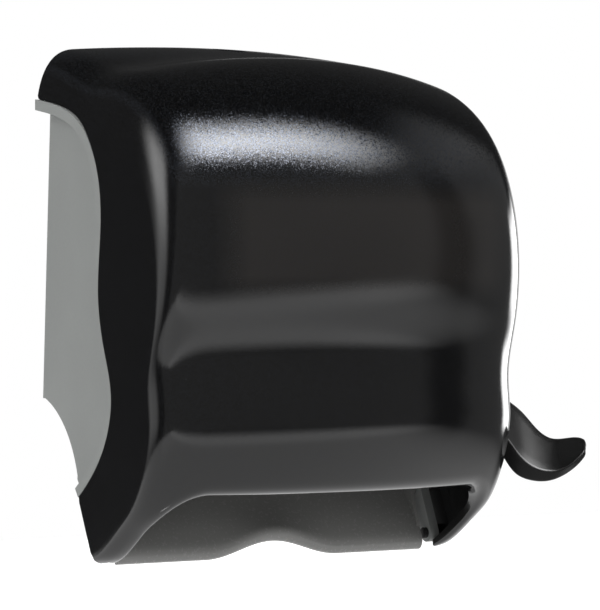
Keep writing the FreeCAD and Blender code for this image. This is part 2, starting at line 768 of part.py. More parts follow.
def make_pressure_rollers():
    rollers = []
    for start in sleeve_starts():
        roller = ring_x(pressure_roller_r, pressure_shaft_r, start, start + sleeve_length, *pressure_axis)
        rollers.append(roller)
    return group(rollers)


def make_pressure_springs():
    """Leaf springs held by an eye on each frame boss; they bear up on the ends of the pressure shaft."""
    x0 = frame_outer + 0.4
    x1 = x0 + 3.2
    leaf_wall = 0.6
    eye = ring_x(mount_boss_r + leaf_wall, mount_boss_r, x0, x1, *front_mount)
    line = [on_circle(front_mount, mount_boss_r + 0.1, 250)]
    line.append(((front_mount[0] + pressure_axis[0]) / 2, (front_mount[1] + pressure_axis[1]) / 2 - 6.0))
    for degrees in (-60, -90, -120):
        line.append(on_circle(pressure_axis, pressure_shaft_r + part_gap, degrees))
    under = offset_points(line, leaf_wall)
    edges = [spline(line).toShape(), Part.makeLine(Vec(0, *line[-1]), Vec(0, *under[-1])), spline(under).toShape(),
             Part.makeLine(Vec(0, *under[0]), Vec(0, *line[0]))]
    leaf = join([side_prism(edges, x0, x1), eye])
    leaf = leaf.cut(rod_x(mount_boss_r, x0 - 1, x1 + 1, *front_mount))
    return group([leaf, mirror_x(leaf)])


def blade_frame(across, down, x):
    """A point of the tear blade: across its thickness and down its leaning face."""
    lean = math.radians(-62.0)
    y = blade_mount[0] + down * math.cos(lean) - across * math.sin(lean)
    z = blade_mount[1] + down * math.sin(lean) + across * math.cos(lean)
    return Vec(x, y, z)


def make_tear_blade():
    half = frame_inner
    usable = 2 * (half - 6)
    count = int(usable / tooth_pitch)
    start = -count * tooth_pitch / 2
    points = [blade_frame(0, -blade_depth / 2, -half), blade_frame(0, -blade_depth / 2, half),
              blade_frame(0, blade_depth / 2 - tooth_height, half)]
    for index in range(count, -1, -1):
        x = start + index * tooth_pitch
        points.append(blade_frame(0, blade_depth / 2 - tooth_height, x))
        if index:
            points.append(blade_frame(0, blade_depth / 2, x - tooth_pitch / 2))
    points.append(blade_frame(0, blade_depth / 2 - tooth_height, -half))
    face = Part.Face(Part.makePolygon(points + points[:1]))
    thickness = blade_frame(blade_thickness, 0, 0) - blade_frame(0, 0, 0)
    blade = face.extrude(thickness)
    tab = rod_x(6.5, half - blade_thickness, half, *blade_mount)
    tab = tab.cut(rod_x(1.7, half - 5, half + 1, *blade_mount))
    slot = rod_x(2.0, half - 9, half - blade_thickness, *blade_mount)
    blade = blade.cut(slot).cut(mirror_x(slot))
    hole = rod_x(1.7, half - 5, half + 1, *blade_mount)
    blade = blade.cut(hole).cut(mirror_x(hole))
    return join([blade, tab, mirror_x(tab)])


def make_blade_screws():
    shank = rod_x(1.5, frame_inner - blade_thickness - 0.5, frame_outer + 3.0, *blade_mount)
    nut = rod_x(3.0, frame_outer, frame_outer + 2.2, *blade_mount)
    right = join([shank, nut])
    return group([right, mirror_x(right)])


def make_paper_guide():
    """Curved plate that leads the towel from the roll to the nip."""
    line = guide_line
    under = offset_points(line, -guide_wall)
    edges = [spline(line).toShape(), Part.makeLine(Vec(0, *line[-1]), Vec(0, *under[-1])), spline(under).toShape(),
             Part.makeLine(Vec(0, *under[0]), Vec(0, *line[0]))]
    pieces = [side_prism(edges, -frame_inner, frame_inner)]
    for peg in guide_pegs:
        end = rod_x(guide_peg_r, frame_inner - 4, frame_inner + 2.2, *peg)
        pieces += [end, mirror_x(end)]
    return join(pieces)


def make_feed_wheel():
    """Knurled wheel that starts a new towel by hand."""
    x0 = -frame_outer - 1.0 - feed_wheel_width
    x1 = -frame_outer - 1.0
    wheel = rod_x(feed_wheel_r, x0, x1, *drive_axis)
    wheel = wheel.cut(ring_x(feed_wheel_r - 3, 9.0, x0 - 1, x0 + 2.6, *drive_axis))
    notches = 24
    for index in range(notches):
        centre = on_circle(drive_axis, feed_wheel_r + 0.6, index * 360.0 / notches)
        wheel = wheel.cut(rod_x(1.8, x0 - 1, x1 + 1, *centre))
    for index in range(5):
        centre = on_circle(drive_axis, 15.5, index * 72.0 + 18)
        wheel = wheel.cut(rod_x(4.0, x0 - 1, x1 + 1, *centre))
    return wheel.cut(rod_x(drive_shaft_r, x0 - 1, x1 + 1, *drive_axis))


def flank_half_angle(pitch_r, teeth, radius):
    """Half of a tooth's angle at a radius, for an involute flank."""
    pressure = math.radians(20.0)
    base_r = pitch_r * math.cos(pressure)
    half_pitch = (math.pi * gear_module / 2 - gear_backlash) / (2 * pitch_r)
    spread = math.acos(min(base_r / max(radius, base_r), 1.0))
    return half_pitch + (math.tan(pressure) - pressure) - (math.tan(spread) - spread)


def tooth(centre, pitch_r, teeth, degrees, x0, x1):
    """One gear tooth that points at the given angle, with its root sunk into the wheel."""
    addendum = 0.85 * gear_module
    dedendum = 1.15 * gear_module
    heights = [-dedendum - 0.4, -dedendum * 0.45, 0.0, addendum * 0.5, addendum]
    flanks = []
    for side in (1, -1):
        flank = []
        for height in heights:
            radius = pitch_r + height
            angle = math.radians(degrees) + side * flank_half_angle(pitch_r, teeth, radius)
            flank.append((centre[0] + radius * math.cos(angle), centre[1] + radius * math.sin(angle)))
        flanks.append(flank)
    rising, falling = flanks
    edges = [spline(rising).toShape(), Part.makeLine(Vec(0, *rising[-1]), Vec(0, *falling[-1])),
             spline(falling).toShape(), Part.makeLine(Vec(0, *falling[0]), Vec(0, *rising[0]))]
    return side_prism(edges, x0, x1)


def make_pinion():
    x0, x1 = gear_x0, gear_x1
    root = pinion_r - 1.15 * gear_module
    pieces = [rod_x(root, x0, x1, *drive_axis)]
    towards_lever = drive_angle + 180.0
    for index in range(pinion_teeth):
        degrees = towards_lever + (index + 0.5) * 360.0 / pinion_teeth
        pieces.append(tooth(drive_axis, pinion_r, pinion_teeth, degrees, x0, x1))
    wheel = join(pieces)
    return wheel.cut(rod_x(drive_shaft_r, x0 - 1, x1 + 1, *drive_axis))


def make_clutch():
    """Ratchet disc beside the pinion; it drives the shaft one way only."""
    x0 = gear_x1 + 0.4
    x1 = x0 + 4.0
    teeth = 10
    corners = []
    for index in range(teeth):
        corners.append(on_circle(drive_axis, 9.5, index * 360.0 / teeth))
        corners.append(on_circle(drive_axis, 7.6, index * 360.0 / teeth))
    disc = side_polygon(corners, x0, x1)
    return disc.cut(rod_x(drive_shaft_r, x0 - 1, x1 + 1, *drive_axis))


# ---------------------------------------------------------------- lever

sector_first = drive_angle + 9.0
sector_last = drive_angle - lever_travel - 10.0
bumper_r = 3.5
bumper_angle = sector_last - math.degrees((bumper_r + 0.3) / 30.0) - 1.0


def make_sector():
    """Toothed quadrant on the lever shaft."""
    x0, x1 = gear_x0, gear_x1
    root = sector_r - 1.15 * gear_module
    apex = Vec(0, *lever_axis)
    start = Vec(0, *on_circle(lever_axis, root, sector_first))
    middle = Vec(0, *on_circle(lever_axis, root, (sector_first + sector_last) / 2))
    end = Vec(0, *on_circle(lever_axis, root, sector_last))
    wedge = side_prism([Part.makeLine(apex, start), Part.Arc(start, middle, end).toShape(),
                        Part.makeLine(end, apex)], x0, x1)
    window_r = (root + 15.0) / 2
    pieces = [wedge, rod_x(11.0, x0, x1, *lever_axis)]
    pitch = 360.0 / full_sector_teeth
    last = int(lever_travel / pitch) + 2
    for index in range(-1, last + 1):
        pieces.append(tooth(lever_axis, sector_r, full_sector_teeth, drive_angle - index * pitch, x0, x1))
    quadrant = join(pieces)
    for share in (0.25, 0.5, 0.75):
        centre = on_circle(lever_axis, window_r + 2, sector_first + (sector_last - sector_first) * share)
        quadrant = quadrant.cut(rod_x(4.0, x0 - 1, x1 + 1, *centre))
    return quadrant.cut(rod_x(lever_shaft_r, x0 - 1, x1 + 1, *lever_axis))


def lever_stations():
    """Upper edge, lower edge and skirt of the lever from its hub to the tip of the paddle."""
    return [((130.0, -86.0, 109.0), (130.0, -96.0, 87.5), (132.6, -97.0, 82.5)),
            ((134.5, -94.5, 109.0), (132.8, -107.0, 85.5), (134.6, -107.5, 78.5)),
            ((147.0, -99.0, 105.5), (138.5, -118.0, 82.5), (139.5, -117.5, 71.0)),
            ((160.0, -106.5, 98.0), (146.0, -127.0, 74.0), (144.5, -126.0, 60.5)),
            ((168.0, -115.0, 89.0), (153.0, -135.0, 60.5), (149.5, -133.0, 50.0)),
            ((173.5, -123.5, 78.5), (160.5, -142.5, 53.8), (157.5, -140.0, 45.9)),
            ((179.0, -130.0, 73.2), (168.5, -149.5, 53.0), (166.5, -147.6, 46.3)),
            ((184.5, -139.0, 73.4), (175.0, -155.5, 56.6), (174.0, -153.6, 50.6)),
            ((188.3, -148.0, 74.0), (180.3, -158.6, 61.8), (180.5, -158.3, 57.0)),
            ((189.4, -153.5, 72.0), (184.2, -159.6, 66.0), (185.0, -160.0, 62.8))]


def lever_section(upper, lower, skirt):
    """L-shaped section: the paddle's plate and the skirt under its near edge."""
    plate = 3.0
    high = Vec(*upper)
    near = Vec(*lower)
    low = Vec(*skirt)
    along = (high - near).normalize()
    down = low - near
    down = (down - along * down.dot(along)).normalize()
    skirt_wall = min(plate, (high - near).Length * 0.4)
    plate_wall = min(plate, (low - near).dot(down) * 0.75)
    corners = [high, near, low, low + along * skirt_wall, near + along * skirt_wall + down * plate_wall,
               high + down * plate_wall]
    return Part.makePolygon(corners + corners[:1])


def make_lever():
    sections = [lever_section(*station) for station in lever_stations()]
    paddle = Part.makeLoft(sections, True, False)
    hub_inner = side_half(lever_z) + 1.3
    hub = rod_x(hub_r, hub_inner, hub_outer_x, *lever_axis)
    hub = hub.makeFillet(1.5, [edge for edge in hub.Edges if edge.BoundBox.XMin > hub_outer_x - 0.1])
    arm = link(lever_axis, 12.0, (lever_y - 23.0, lever_z - 3.0), 12.5, 129.2, hub_outer_x - 0.4)
    lever = join([hub, arm, paddle])
    lever = lever.cut(rod_x(4.2, hub_outer_x - 2.2, hub_outer_x + 5, *lever_axis))
    return lever.cut(rod_x(lever_shaft_r, 100, hub_outer_x - 4, *lever_axis)).cut(rod_x(2.0, 100, 140, *lever_axis))


def make_lever_shaft():
    shaft = rod_x(lever_shaft_r, frame_inner - 3.0, hub_outer_x - 4, *lever_axis)
    groove = ring_x(lever_shaft_r + 1, lever_shaft_r - 0.8, frame_inner - 1.7, frame_inner - 0.7, *lever_axis)
    return shaft.cut(groove).cut(rod_x(1.7, hub_outer_x - 16, hub_outer_x, *lever_axis))


def make_lever_screw():
    shank = rod_x(1.7, hub_outer_x - 15.5, hub_outer_x - 2.2, *lever_axis)
    head = rod_x(3.6, hub_outer_x - 2.2, hub_outer_x - 0.3, *lever_axis)
    screw = join([shank, head])
    for turn in (0, 90):
        slot = box(hub_outer_x - 1.4, hub_outer_x + 1, lever_y - 2.2, lever_y + 2.2, lever_z - 0.4, lever_z + 0.4)
        slot.rotate(Vec(0, *lever_axis), Vec(1, 0, 0), turn)
        screw = screw.cut(slot)
    return screw


def make_lever_clip():
    """Retaining clip in the groove at the shaft's inner end."""
    x0 = frame_inner - 1.65
    x1 = frame_inner - 0.75
    clip = ring_x(lever_shaft_r + 2.6, lever_shaft_r - 0.75, x0, x1, *lever_axis)
    return clip.cut(box(x0 - 1, x1 + 1, lever_y - 2.2, lever_y + 2.2, lever_z - 12, lever_z))


def make_lever_bush():
    outer = side_half(lever_z)
    collar_r = bush_r + 2.4
    sleeve = ring_x(bush_r, lever_shaft_r + running_gap, outer - chassis_wall, outer + 1.2, *lever_axis)
    collar = ring_x(collar_r, lever_shaft_r + running_gap, side_half(lever_z - collar_r) + 0.05, outer + 1.2,
                    *lever_axis)
    return join([sleeve, collar])


def make_return_spring():
    """Coiled wire between the quadrant and the side wall; it lifts the lever."""
    wire_r = 0.5
    coil_r = 7.4
    x0 = gear_x1 + 1.0
    low = x0 + wire_r
    turns = coil_path(Vec(low, *lever_axis), Vec(1, 0, 0), Vec(0, 0, -1), coil_r, 1.3, 2.5)
    hook_y = lever_y - 28.3
    catch = Vec(gear_x0 + 2.0, hook_y, lever_z - coil_r)
    bend = Vec(low - 0.3, hook_y, lever_z - coil_r)
    ground = turns[-1] + Vec(0, -14.0, 0)
    return bent_wire([catch, bend] + turns + [ground], wire_r)


def make_bumper():
    stop_at = on_circle(lever_axis, 30.0, bumper_angle)
    return ring_x(bumper_r, 2.0, frame_outer, gear_x1 - 0.5, *stop_at)


# ---------------------------------------------------------------- roll holders
arm_inner = roll_width / 2 + 0.3 + hub_flange + part_gap
arm_outer = arm_inner + arm_wall


def arm_shape(knuckle_high):
    """Right roll arm: knuckle, ribbed plate and round end with the hub's bore."""
    knuckle = rod_z(5.0, roll_z - 13 + part_gap, knuckle_high, arm_pin_x, arm_pin_y)
    heel = (-22.0, roll_z - 2.0)
    heel_r = 9.0
    root = box(arm_inner, arm_outer, -24, arm_pin_y, roll_z - 11, roll_z + 6)
    bar = link(heel, heel_r, (roll_y, roll_z), arm_end_r, arm_inner, arm_outer)
    bar = bar.cut(link((-32.0, roll_z - 1.5), 5.5, (roll_y + 26, roll_z), 8.0, arm_inner + 1.8, arm_outer + 1))
    rim = link(heel, heel_r, (roll_y, roll_z), arm_end_r, arm_outer - 0.5, arm_outer + arm_rib)
    rim = rim.cut(link(heel, heel_r - 1.6, (roll_y, roll_z), arm_end_r - 1.6, arm_outer - 1,
                       arm_outer + arm_rib + 1))
    spring_tab = box(arm_inner, arm_outer, -24, -19, roll_z + 4, roll_z + 10)
    arm = join([knuckle, root, bar, rim, spring_tab])
    arm = arm.cut(rod_z(arm_pin_r + running_gap, roll_z - 20, roll_z + 30, arm_pin_x, arm_pin_y))
    return arm.cut(rod_x(hub_axle_r + running_gap, arm_inner - 1, arm_outer + 3, roll_y, roll_z))


hub_axle_r = 4.0


def make_arm_right():
    return arm_shape(roll_z + 7.0)


def make_arm_left():
    return mirror_x(arm_shape(roll_z + 13 - part_gap))


def make_arm_pins():
    pin = rod_z(arm_pin_r, roll_z - 18.5, roll_z + 18.5, arm_pin_x, arm_pin_y)
    head = rod_z(arm_pin_r + 1.4, roll_z + 18, roll_z + 19.5, arm_pin_x, arm_pin_y)
    right = join([pin, head])
    return group([right, mirror_x(right)])


def make_arm_spring():
    """Wire coil on the right arm's pin; it presses the arm towards the roll."""
    wire_r = 0.45
    coil_r = arm_pin_r + 1.0
    low = roll_z + 7.0 + part_gap + wire_r
    turns = coil_path(Vec(arm_pin_x, arm_pin_y, low), Vec(0, 0, 1), Vec(1, 0, 0), coil_r, 1.0, 4.25)
    leg = turns[0] + Vec(0, -13.0, 0)
    ground = turns[-1] + Vec(-12.0, 3.5, 0)
    return bent_wire([leg] + turns + [ground], wire_r)


def hub_shape():
    """Core plug that carries one end of the roll and turns in the arm."""
    face = roll_width / 2 + 0.3
    flange = rod_x(hub_flange_r, face, face + hub_flange, roll_y, roll_z)
    plug = Part.makeCone(core_plug_r - 1.5, core_plug_r, core_plug_length, Vec(face - core_plug_length, roll_y, roll_z),
                         Vec(1, 0, 0))
    hollow = rod_x(core_plug_r - 3.6, face - core_plug_length - 1, face - 0.6, roll_y, roll_z)
    spokes = []
    for index in range(3):
        spoke = box(face - core_plug_length + 1, face, roll_y - 0.8, roll_y + 0.8, roll_z, roll_z + core_plug_r - 2)
        spoke.rotate(Vec(0, roll_y, roll_z), Vec(1, 0, 0), index * 120.0)
        spokes.append(spoke)
    axle = rod_x(hub_axle_r, face + 0.5, arm_outer + 0.6, roll_y, roll_z)
    cap = rod_x(hub_axle_r + 1.6, arm_outer + 0.3, arm_outer + 1.3, roll_y, roll_z)
    return join([flange, plug.cut(hollow)] + spokes + [axle, cap])


def make_hub_right():
    return hub_shape()


def make_hub_left():
    return mirror_x(hub_shape())


# ---------------------------------------------------------------- lock
lock_seat = body_height - 6.5
pad_low = body_height - 14.0
nut_height = 3.6
cam_z1 = pad_low - nut_height - 3.4
cam_z0 = cam_z1 - 2.6
plug_r = 5.5


def make_lock_housing():
    """Flanged tube that the key plug turns in."""
    head = rod_z(barrel_r + 2.4, lock_seat, lock_seat + 1.6, 0, lock_y)
    tube = rod_z(barrel_r, cam_z1 + part_gap, lock_seat + 0.5, 0, lock_y)
    whole = join([head, tube])
    return whole.cut(rod_z(plug_r + running_gap, cam_z1 - 1, lock_seat + 5, 0, lock_y))


def make_lock_plug():
    body = rod_z(plug_r, cam_z1, lock_seat + 1.9, 0, lock_y)
    post = rod_z(3.0, cam_z0, cam_z1 + 0.5, 0, lock_y)
    plug = join([body, post])
    slot = box(-3.2, 3.2, lock_y - 0.7, lock_y + 0.7, lock_seat - 6, lock_seat + 5)
    eye = rod_z(1.8, lock_seat - 6, lock_seat + 5, 0, lock_y)
    plug = plug.cut(slot).cut(eye)
    return plug.cut(rod_z(1.5, cam_z0 - 1, cam_z1 + 4, 0, lock_y))


def make_lock_nut():
    corners = []
    for index in range(6):
        angle = math.radians(index * 60.0)
        reach = (barrel_r + 2.6) / math.cos(math.radians(30))
        corners.append(Vec(reach * math.cos(angle), lock_y + reach * math.sin(angle), pad_low - nut_height))
    nut = Part.Face(Part.makePolygon(corners + corners[:1])).extrude(Vec(0, 0, nut_height))
    return nut.cut(rod_z(barrel_r, pad_low - nut_height - 1, pad_low + 1, 0, lock_y))


def make_lock_cam():
    bar = box(-cam_width / 2, cam_width / 2, lock_y, lock_y + cam_reach - cam_width / 2, cam_z0, cam_z1)
    end = rod_z(cam_width / 2, cam_z0, cam_z1, 0, lock_y + cam_reach - cam_width / 2)
    head = rod_z(6.0, cam_z0, cam_z1, 0, lock_y)
    cam = join([bar, end, head])
    return cam.cut(rod_z(3.0, cam_z0 - 1, cam_z1 + 1, 0, lock_y))


def make_lock_screw():
    head = rod_z(4.2, cam_z0 - 1.6, cam_z0, 0, lock_y)
    shank = rod_z(1.5, cam_z0 - 0.5, cam_z1 + 3.5, 0, lock_y)
    return join([head, shank])


def make_lock_keeper():
    """Bent steel bracket on the wall plate; the cam turns in behind its upstand."""
    thick = 1.5
    shelf_z = cam_z0 - 5.0
    reach = lock_y - 8.5
    back = box(7, 23, -back_plate - thick, -back_plate, shelf_z - 10, shelf_z + thick)
    shelf = box(7, 23, reach, -back_plate, shelf_z, shelf_z + thick)
    upstand = box(7, 23, reach, reach + thick, shelf_z, cam_z1 + 1.0)
    keeper = join([back, shelf, upstand])
    for x in (11, 19):
        keeper = keeper.cut(rod_y(1.6, -10, 0, x, shelf_z - 5.5))
    return keeper


def make_keeper_screws():
    screws = []
    for x in (11, 19):
        z = cam_z0 - 10.5
        head = rod_y(2.6, -back_plate - 3.1, -back_plate - 1.5, x, z)
        shank = rod_y(1.6, -back_plate - 2.0, -0.4, x, z)
        screws.append(join([head, shank]))
    return group(screws)


# ---------------------------------------------------------------- export


def export(name, shape):
    """Writes one node, with the origin at the middle of the wall screws."""
    moved = shape.copy()
    moved.translate(Vec(0, 0, -screw_row_height))
    moved.exportStep("parts/" + name + ".step")
    print(name, "solids", len(moved.Solids), "volume", round(moved.Volume), "valid", moved.isValid())


def main():
    os.makedirs("parts", exist_ok=True)
    export("back_chassis", make_chassis())
    export("front_cover", make_cover())
    export("cover_hinge_pins", make_hinge_pins())
    export("towel_chute", make_chute())
    export("side_frame_right", make_frame_right())
    export("side_frame_left", make_frame_left())
    export("side_frame_screws", make_frame_screws())
    export("drive_bushes", make_drive_bushes())
    export("drive_shaft", make_drive_shaft())
    export("drive_drum", make_drive_drum())
    export("drive_sleeves", make_drive_sleeves())
    export("feed_wheel", make_feed_wheel())
    export("pinion_gear", make_pinion())
    export("clutch_ratchet", make_clutch())
    export("pressure_shaft", make_pressure_shaft())
    export("pressure_rollers", make_pressure_rollers())
    export("pressure_springs", make_pressure_springs())
    export("tear_blade", make_tear_blade())
    export("tear_blade_screws", make_blade_screws())
    export("paper_guide", make_paper_guide())
    export("lever", make_lever())
    export("lever_shaft", make_lever_shaft())
    export("lever_screw", make_lever_screw())
    export("lever_clip", make_lever_clip())
    export("lever_bush", make_lever_bush())
    export("sector_gear", make_sector())
    export("lever_return_spring", make_return_spring())
    export("lever_stop_bumper", make_bumper())
    export("roll_arm_right", make_arm_right())
    export("roll_arm_left", make_arm_left())
    export("arm_pins", make_arm_pins())
    export("arm_spring", make_arm_spring())
    export("roll_hub_right", make_hub_right())
    export("roll_hub_left", make_hub_left())
    export("lock_housing", make_lock_housing())
    export("lock_nut", make_lock_nut())
    export("lock_plug", make_lock_plug())
    export("lock_cam", make_lock_cam())
    export("lock_screw", make_lock_screw())
    export("lock_keeper", make_lock_keeper())
    export("lock_keeper_screws", make_keeper_screws())


main()
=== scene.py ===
# %% [markdown]
# # A lever towel dispenser, dressed for the camera
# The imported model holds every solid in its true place. This lesson keeps those solids as a fixed frame,
# gives each of them a finish, and makes again, in finer meshes, the few pieces that the eye rests on.
# Lengths in the scene are metres.

# %% Load the frame
import json
import math

import bmesh
import bpy
import numpy as np
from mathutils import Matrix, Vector


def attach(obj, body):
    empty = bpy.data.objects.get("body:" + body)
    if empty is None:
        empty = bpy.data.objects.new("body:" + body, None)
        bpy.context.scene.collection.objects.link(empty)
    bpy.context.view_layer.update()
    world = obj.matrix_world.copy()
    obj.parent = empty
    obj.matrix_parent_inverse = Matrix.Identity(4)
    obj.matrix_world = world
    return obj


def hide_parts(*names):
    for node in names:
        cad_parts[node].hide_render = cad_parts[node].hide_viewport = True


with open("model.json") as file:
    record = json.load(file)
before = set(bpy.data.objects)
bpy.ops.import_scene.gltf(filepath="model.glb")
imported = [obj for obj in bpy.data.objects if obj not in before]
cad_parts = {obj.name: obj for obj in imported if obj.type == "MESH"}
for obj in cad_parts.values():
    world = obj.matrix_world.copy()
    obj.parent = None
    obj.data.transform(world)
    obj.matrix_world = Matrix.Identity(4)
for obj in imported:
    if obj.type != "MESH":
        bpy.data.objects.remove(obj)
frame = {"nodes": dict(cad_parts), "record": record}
cad = frame["nodes"]
members_of = frame["record"]["behaviour"]["bodies"]
body_of = {node: body for body, members in members_of.items() for node in members}
slot_of = {entry["node"]: entry["material_slot"] for entry in frame["record"]["subparts"]}
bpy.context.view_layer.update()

# %% [markdown]
# ## Units and origin
# Sizes are written in millimetres, and heights from the part's foot, as on a drawing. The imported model's
# origin is the middle of the four wall screws instead, so heights are shifted by a fixed amount.

# %% Units
mm = 0.001
foot = -196.0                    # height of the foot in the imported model, in millimetres
floor_of_part = foot * mm
print("the foot stands at", floor_of_part, "m")

# %% [markdown]
# ## Helpers for meshes
# A mesh object is made from plain lists of points and faces. Smooth shading stops at edges, as light does
# on a moulding. What a modifier makes is baked, so that every piece ends as a plain mesh.

# %% Make, smooth and bake a mesh object
def in_scene(name, data):
    """A new object at the origin of the scene."""
    piece = bpy.data.objects.new(name, data)
    bpy.context.scene.collection.objects.link(piece)
    return piece


def mesh_object(name, points, faces, edges=()):
    """A mesh from lists of points and faces, or points and edges."""
    mesh = bpy.data.meshes.new(name)
    mesh.from_pydata([tuple(p) for p in points], list(edges), [tuple(f) for f in faces])
    mesh.update()
    return in_scene(name, mesh)


def smooth(piece, degrees):
    """Smooth shading that stops at edges sharper than the angle."""
    piece.data.shade_smooth()
    piece.data.set_sharp_from_angle(angle=math.radians(degrees))
    return piece


def bake(piece):
    """Turn what the modifiers make into the piece's own plain mesh."""
    result = bpy.data.meshes.new_from_object(piece.evaluated_get(bpy.context.evaluated_depsgraph_get()))
    piece.modifiers.clear()
    old = piece.data
    piece.data = result
    bpy.data.meshes.remove(old)
    return piece


def worked(piece, kind, **settings):
    """Works a piece with one modifier and keeps the result."""
    step = piece.modifiers.new(kind.lower(), kind)
    for label, value in settings.items():
        setattr(step, label, value)
    return bake(piece)


def soften(piece, width):
    """Rounds the edges that are sharper than 60 degrees."""
    return worked(piece, "BEVEL", width=width, segments=3, limit_method="ANGLE",
                  angle_limit=math.radians(60))


# %% [markdown]
# ## Closed forms
# A moulding is often put together from several closed forms. Points that lie on each other are made one,
# and every face is turned outwards, before the forms are joined.

# %% Merge and join
def merged(piece, distance=0.000004):
    """Joins points that lie on each other and turns every face outwards."""
    work = bmesh.new()
    work.from_mesh(piece.data)
    bmesh.ops.remove_doubles(work, verts=work.verts, dist=distance)
    bmesh.ops.recalc_face_normals(work, faces=work.faces)
    work.to_mesh(piece.data)
    work.free()
    return piece


def joined(name, *pieces):
    """One piece from several, each kept as a closed solid."""
    work = bmesh.new()
    for piece in pieces:
        work.from_mesh(piece.data)
        bpy.data.objects.remove(piece)
    whole = mesh_object(name, [], [])
    work.to_mesh(whole.data)
    work.free()
    return whole


# %% [markdown]
# ## A piece's place in the machine
# Each new piece is joined straight away to the body that carries it, so that nothing is forgotten when a
# joint moves. It also gets the slot of its finish, and hides the solids that it stands in for.

# %% Dress a piece
def dress(piece, body, slot, *nodes):
    """Joins a finished piece to its body and slot; the named solids then stay hidden."""
    if not piece.data.materials:
        piece.data.materials.append(finish[slot])
    if nodes:
        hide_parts(*nodes)
    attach(piece, body)
    print(piece.name, len(piece.data.polygons), "faces on", body)
    return piece


# %% [markdown]
# ## Turned and outlined pieces
# A lathe turns a profile about an axis, and a flat part has an outline and a thickness. Two helpers cover
# them both, so that each small piece below is only its profile, in millimetres, as it would be on a
# drawing.

# %% Turn a profile
def turned(name, profile, centre, axis="X", steps=48):
    """A closed solid from (along, radius) points, turned about a line through the centre."""
    points, faces, rings = [], [], []
    for along, radius in profile:
        ring = []
        for step in range(steps if radius > 0 else 1):
            angle = 2 * math.pi * step / steps
            side, top = radius * math.cos(angle), radius * math.sin(angle)
            spot = (along, side, top) if axis == "X" else (side, top, along)
            ring.append(len(points))
            points.append([(c + o) * mm for c, o in zip(spot, centre)])
        rings.append(ring)
    if profile[0] == profile[-1]:
        rings[-1] = rings[0]
    for first, second in zip(rings, rings[1:]):
        for step in range(steps):
            loop = [first[step % len(first)], first[(step + 1) % len(first)],
                    second[(step + 1) % len(second)], second[step % len(second)]]
            loop = list(dict.fromkeys(loop))
            if len(loop) > 2:
                faces.append(loop)
    used = sorted({i for face in faces for i in face})
    new = {old: index for index, old in enumerate(used)}
    return merged(mesh_object(name, [points[i] for i in used], [[new[i] for i in face] for face in faces]))


# %% Give an outline a thickness
def outlined(name, outline, x0, x1):
    """A prism from a side outline of (y, z) points between two values of x."""
    count = len(outline)
    points = [(x * mm, y * mm, z * mm + floor_of_part) for x in (x0, x1) for y, z in outline]
    faces = [tuple(range(count)), tuple(range(2 * count - 1, count - 1, -1))]
    faces += [(i, (i + 1) % count, (i + 1) % count + count, i + count) for i in range(count)]
    return merged(mesh_object(name, points, faces))


# %% [markdown]
# ## Helpers for nodes
# Finishes, growing trees and the light in the world are all made of nodes. One helper adds a node and
# fills its sockets by name, with values or with the outputs of other nodes, and two do sums. A tree then
# reads like a recipe.

# %% Add nodes and do sums with them
def put(tree, socket, value):
    """Links another node's output to a socket, or sets the socket's value."""
    if isinstance(value, bpy.types.NodeSocket):
        tree.links.new(value, socket)
    else:
        socket.default_value = value


def fill(tree, node, **sockets):
    """Links or sets a node's sockets by name."""
    for label, value in sockets.items():
        put(tree, node.inputs[label.replace("_", " ")], value)
    return node


def add_node(tree, kind, settings=None, **sockets):
    """A node with its settings, and its sockets linked or set by name."""
    node = tree.nodes.new(kind)
    for label, value in (settings or {}).items():
        setattr(node, label, value)
    return fill(tree, node, **sockets)


def tree_math(tree, operation, *values, kind="ShaderNodeMath", result="Value"):
    """One sum, whose values fill the node's sockets in order."""
    node = add_node(tree, kind, {"operation": operation})
    for socket, value in zip(node.inputs, values):
        put(tree, socket, value)
    return node.outputs[result]


def tree_product(tree, *values):
    """All the values, multiplied."""
    product = values[0]
    for value in values[1:]:
        product = tree_math(tree, "MULTIPLY", product, value)
    return product


# %% [markdown]
# ## Finishes
# Moulded plastic is never one flat colour. A noise texture at the size of the mould's grain drives a
# small bump and moves the roughness a little, and a second, much larger noise shifts the colour by a few
# percent, as resin does.

# %% Parts of a finish
def new_material(name):
    """An empty finish: the material, its tree, its shader and the place on the object."""
    material = bpy.data.materials.new(name)
    material.use_nodes = True
    tree = material.node_tree
    place = add_node(tree, "ShaderNodeTexCoord")
    return material, tree, tree.nodes["Principled BSDF"], place.outputs["Object"]


def noise(tree, where, scale, detail=4.0, stretch=None):
    if stretch:
        where = add_node(tree, "ShaderNodeMapping", Vector=where, Scale=stretch).outputs["Vector"]
    return add_node(tree, "ShaderNodeTexNoise", Vector=where, Scale=scale, Detail=detail).outputs["Fac"]


def spread(tree, value, low, high, start=0.3, stop=0.7):
    """Maps a value from start..stop to low..high."""
    node = add_node(tree, "ShaderNodeMapRange", Value=value, From_Min=start, From_Max=stop,
                    To_Min=low, To_Max=high)
    return node.outputs["Result"]


def two_tone(tree, value, colour, low, high):
    """A colour that drifts between a darker and a lighter shade of itself."""
    ramp = add_node(tree, "ShaderNodeValToRGB", Fac=value)
    for stop, factor, place in zip(ramp.color_ramp.elements, (low, high), (0.35, 0.65)):
        stop.color = tuple(min(1.0, c * factor) for c in colour) + (1.0,)
        stop.position = place
    return ramp.outputs["Color"]


def bump(tree, shader, height, depth, strength=1.0):
    """Relief of a given depth, in metres, on the shader's normal."""
    node = add_node(tree, "ShaderNodeBump", Height=height, Distance=depth, Strength=strength)
    fill(tree, shader, Normal=node.outputs["Normal"])
    return node


# %% [markdown]
# ## Plastic, rubber and metal
# The two recipes differ in what the noise stands for. On plastic and rubber it is the mould's spark-cut
# grain. On metal it is the trace of the tool, and on turned steel it is stretched one way.

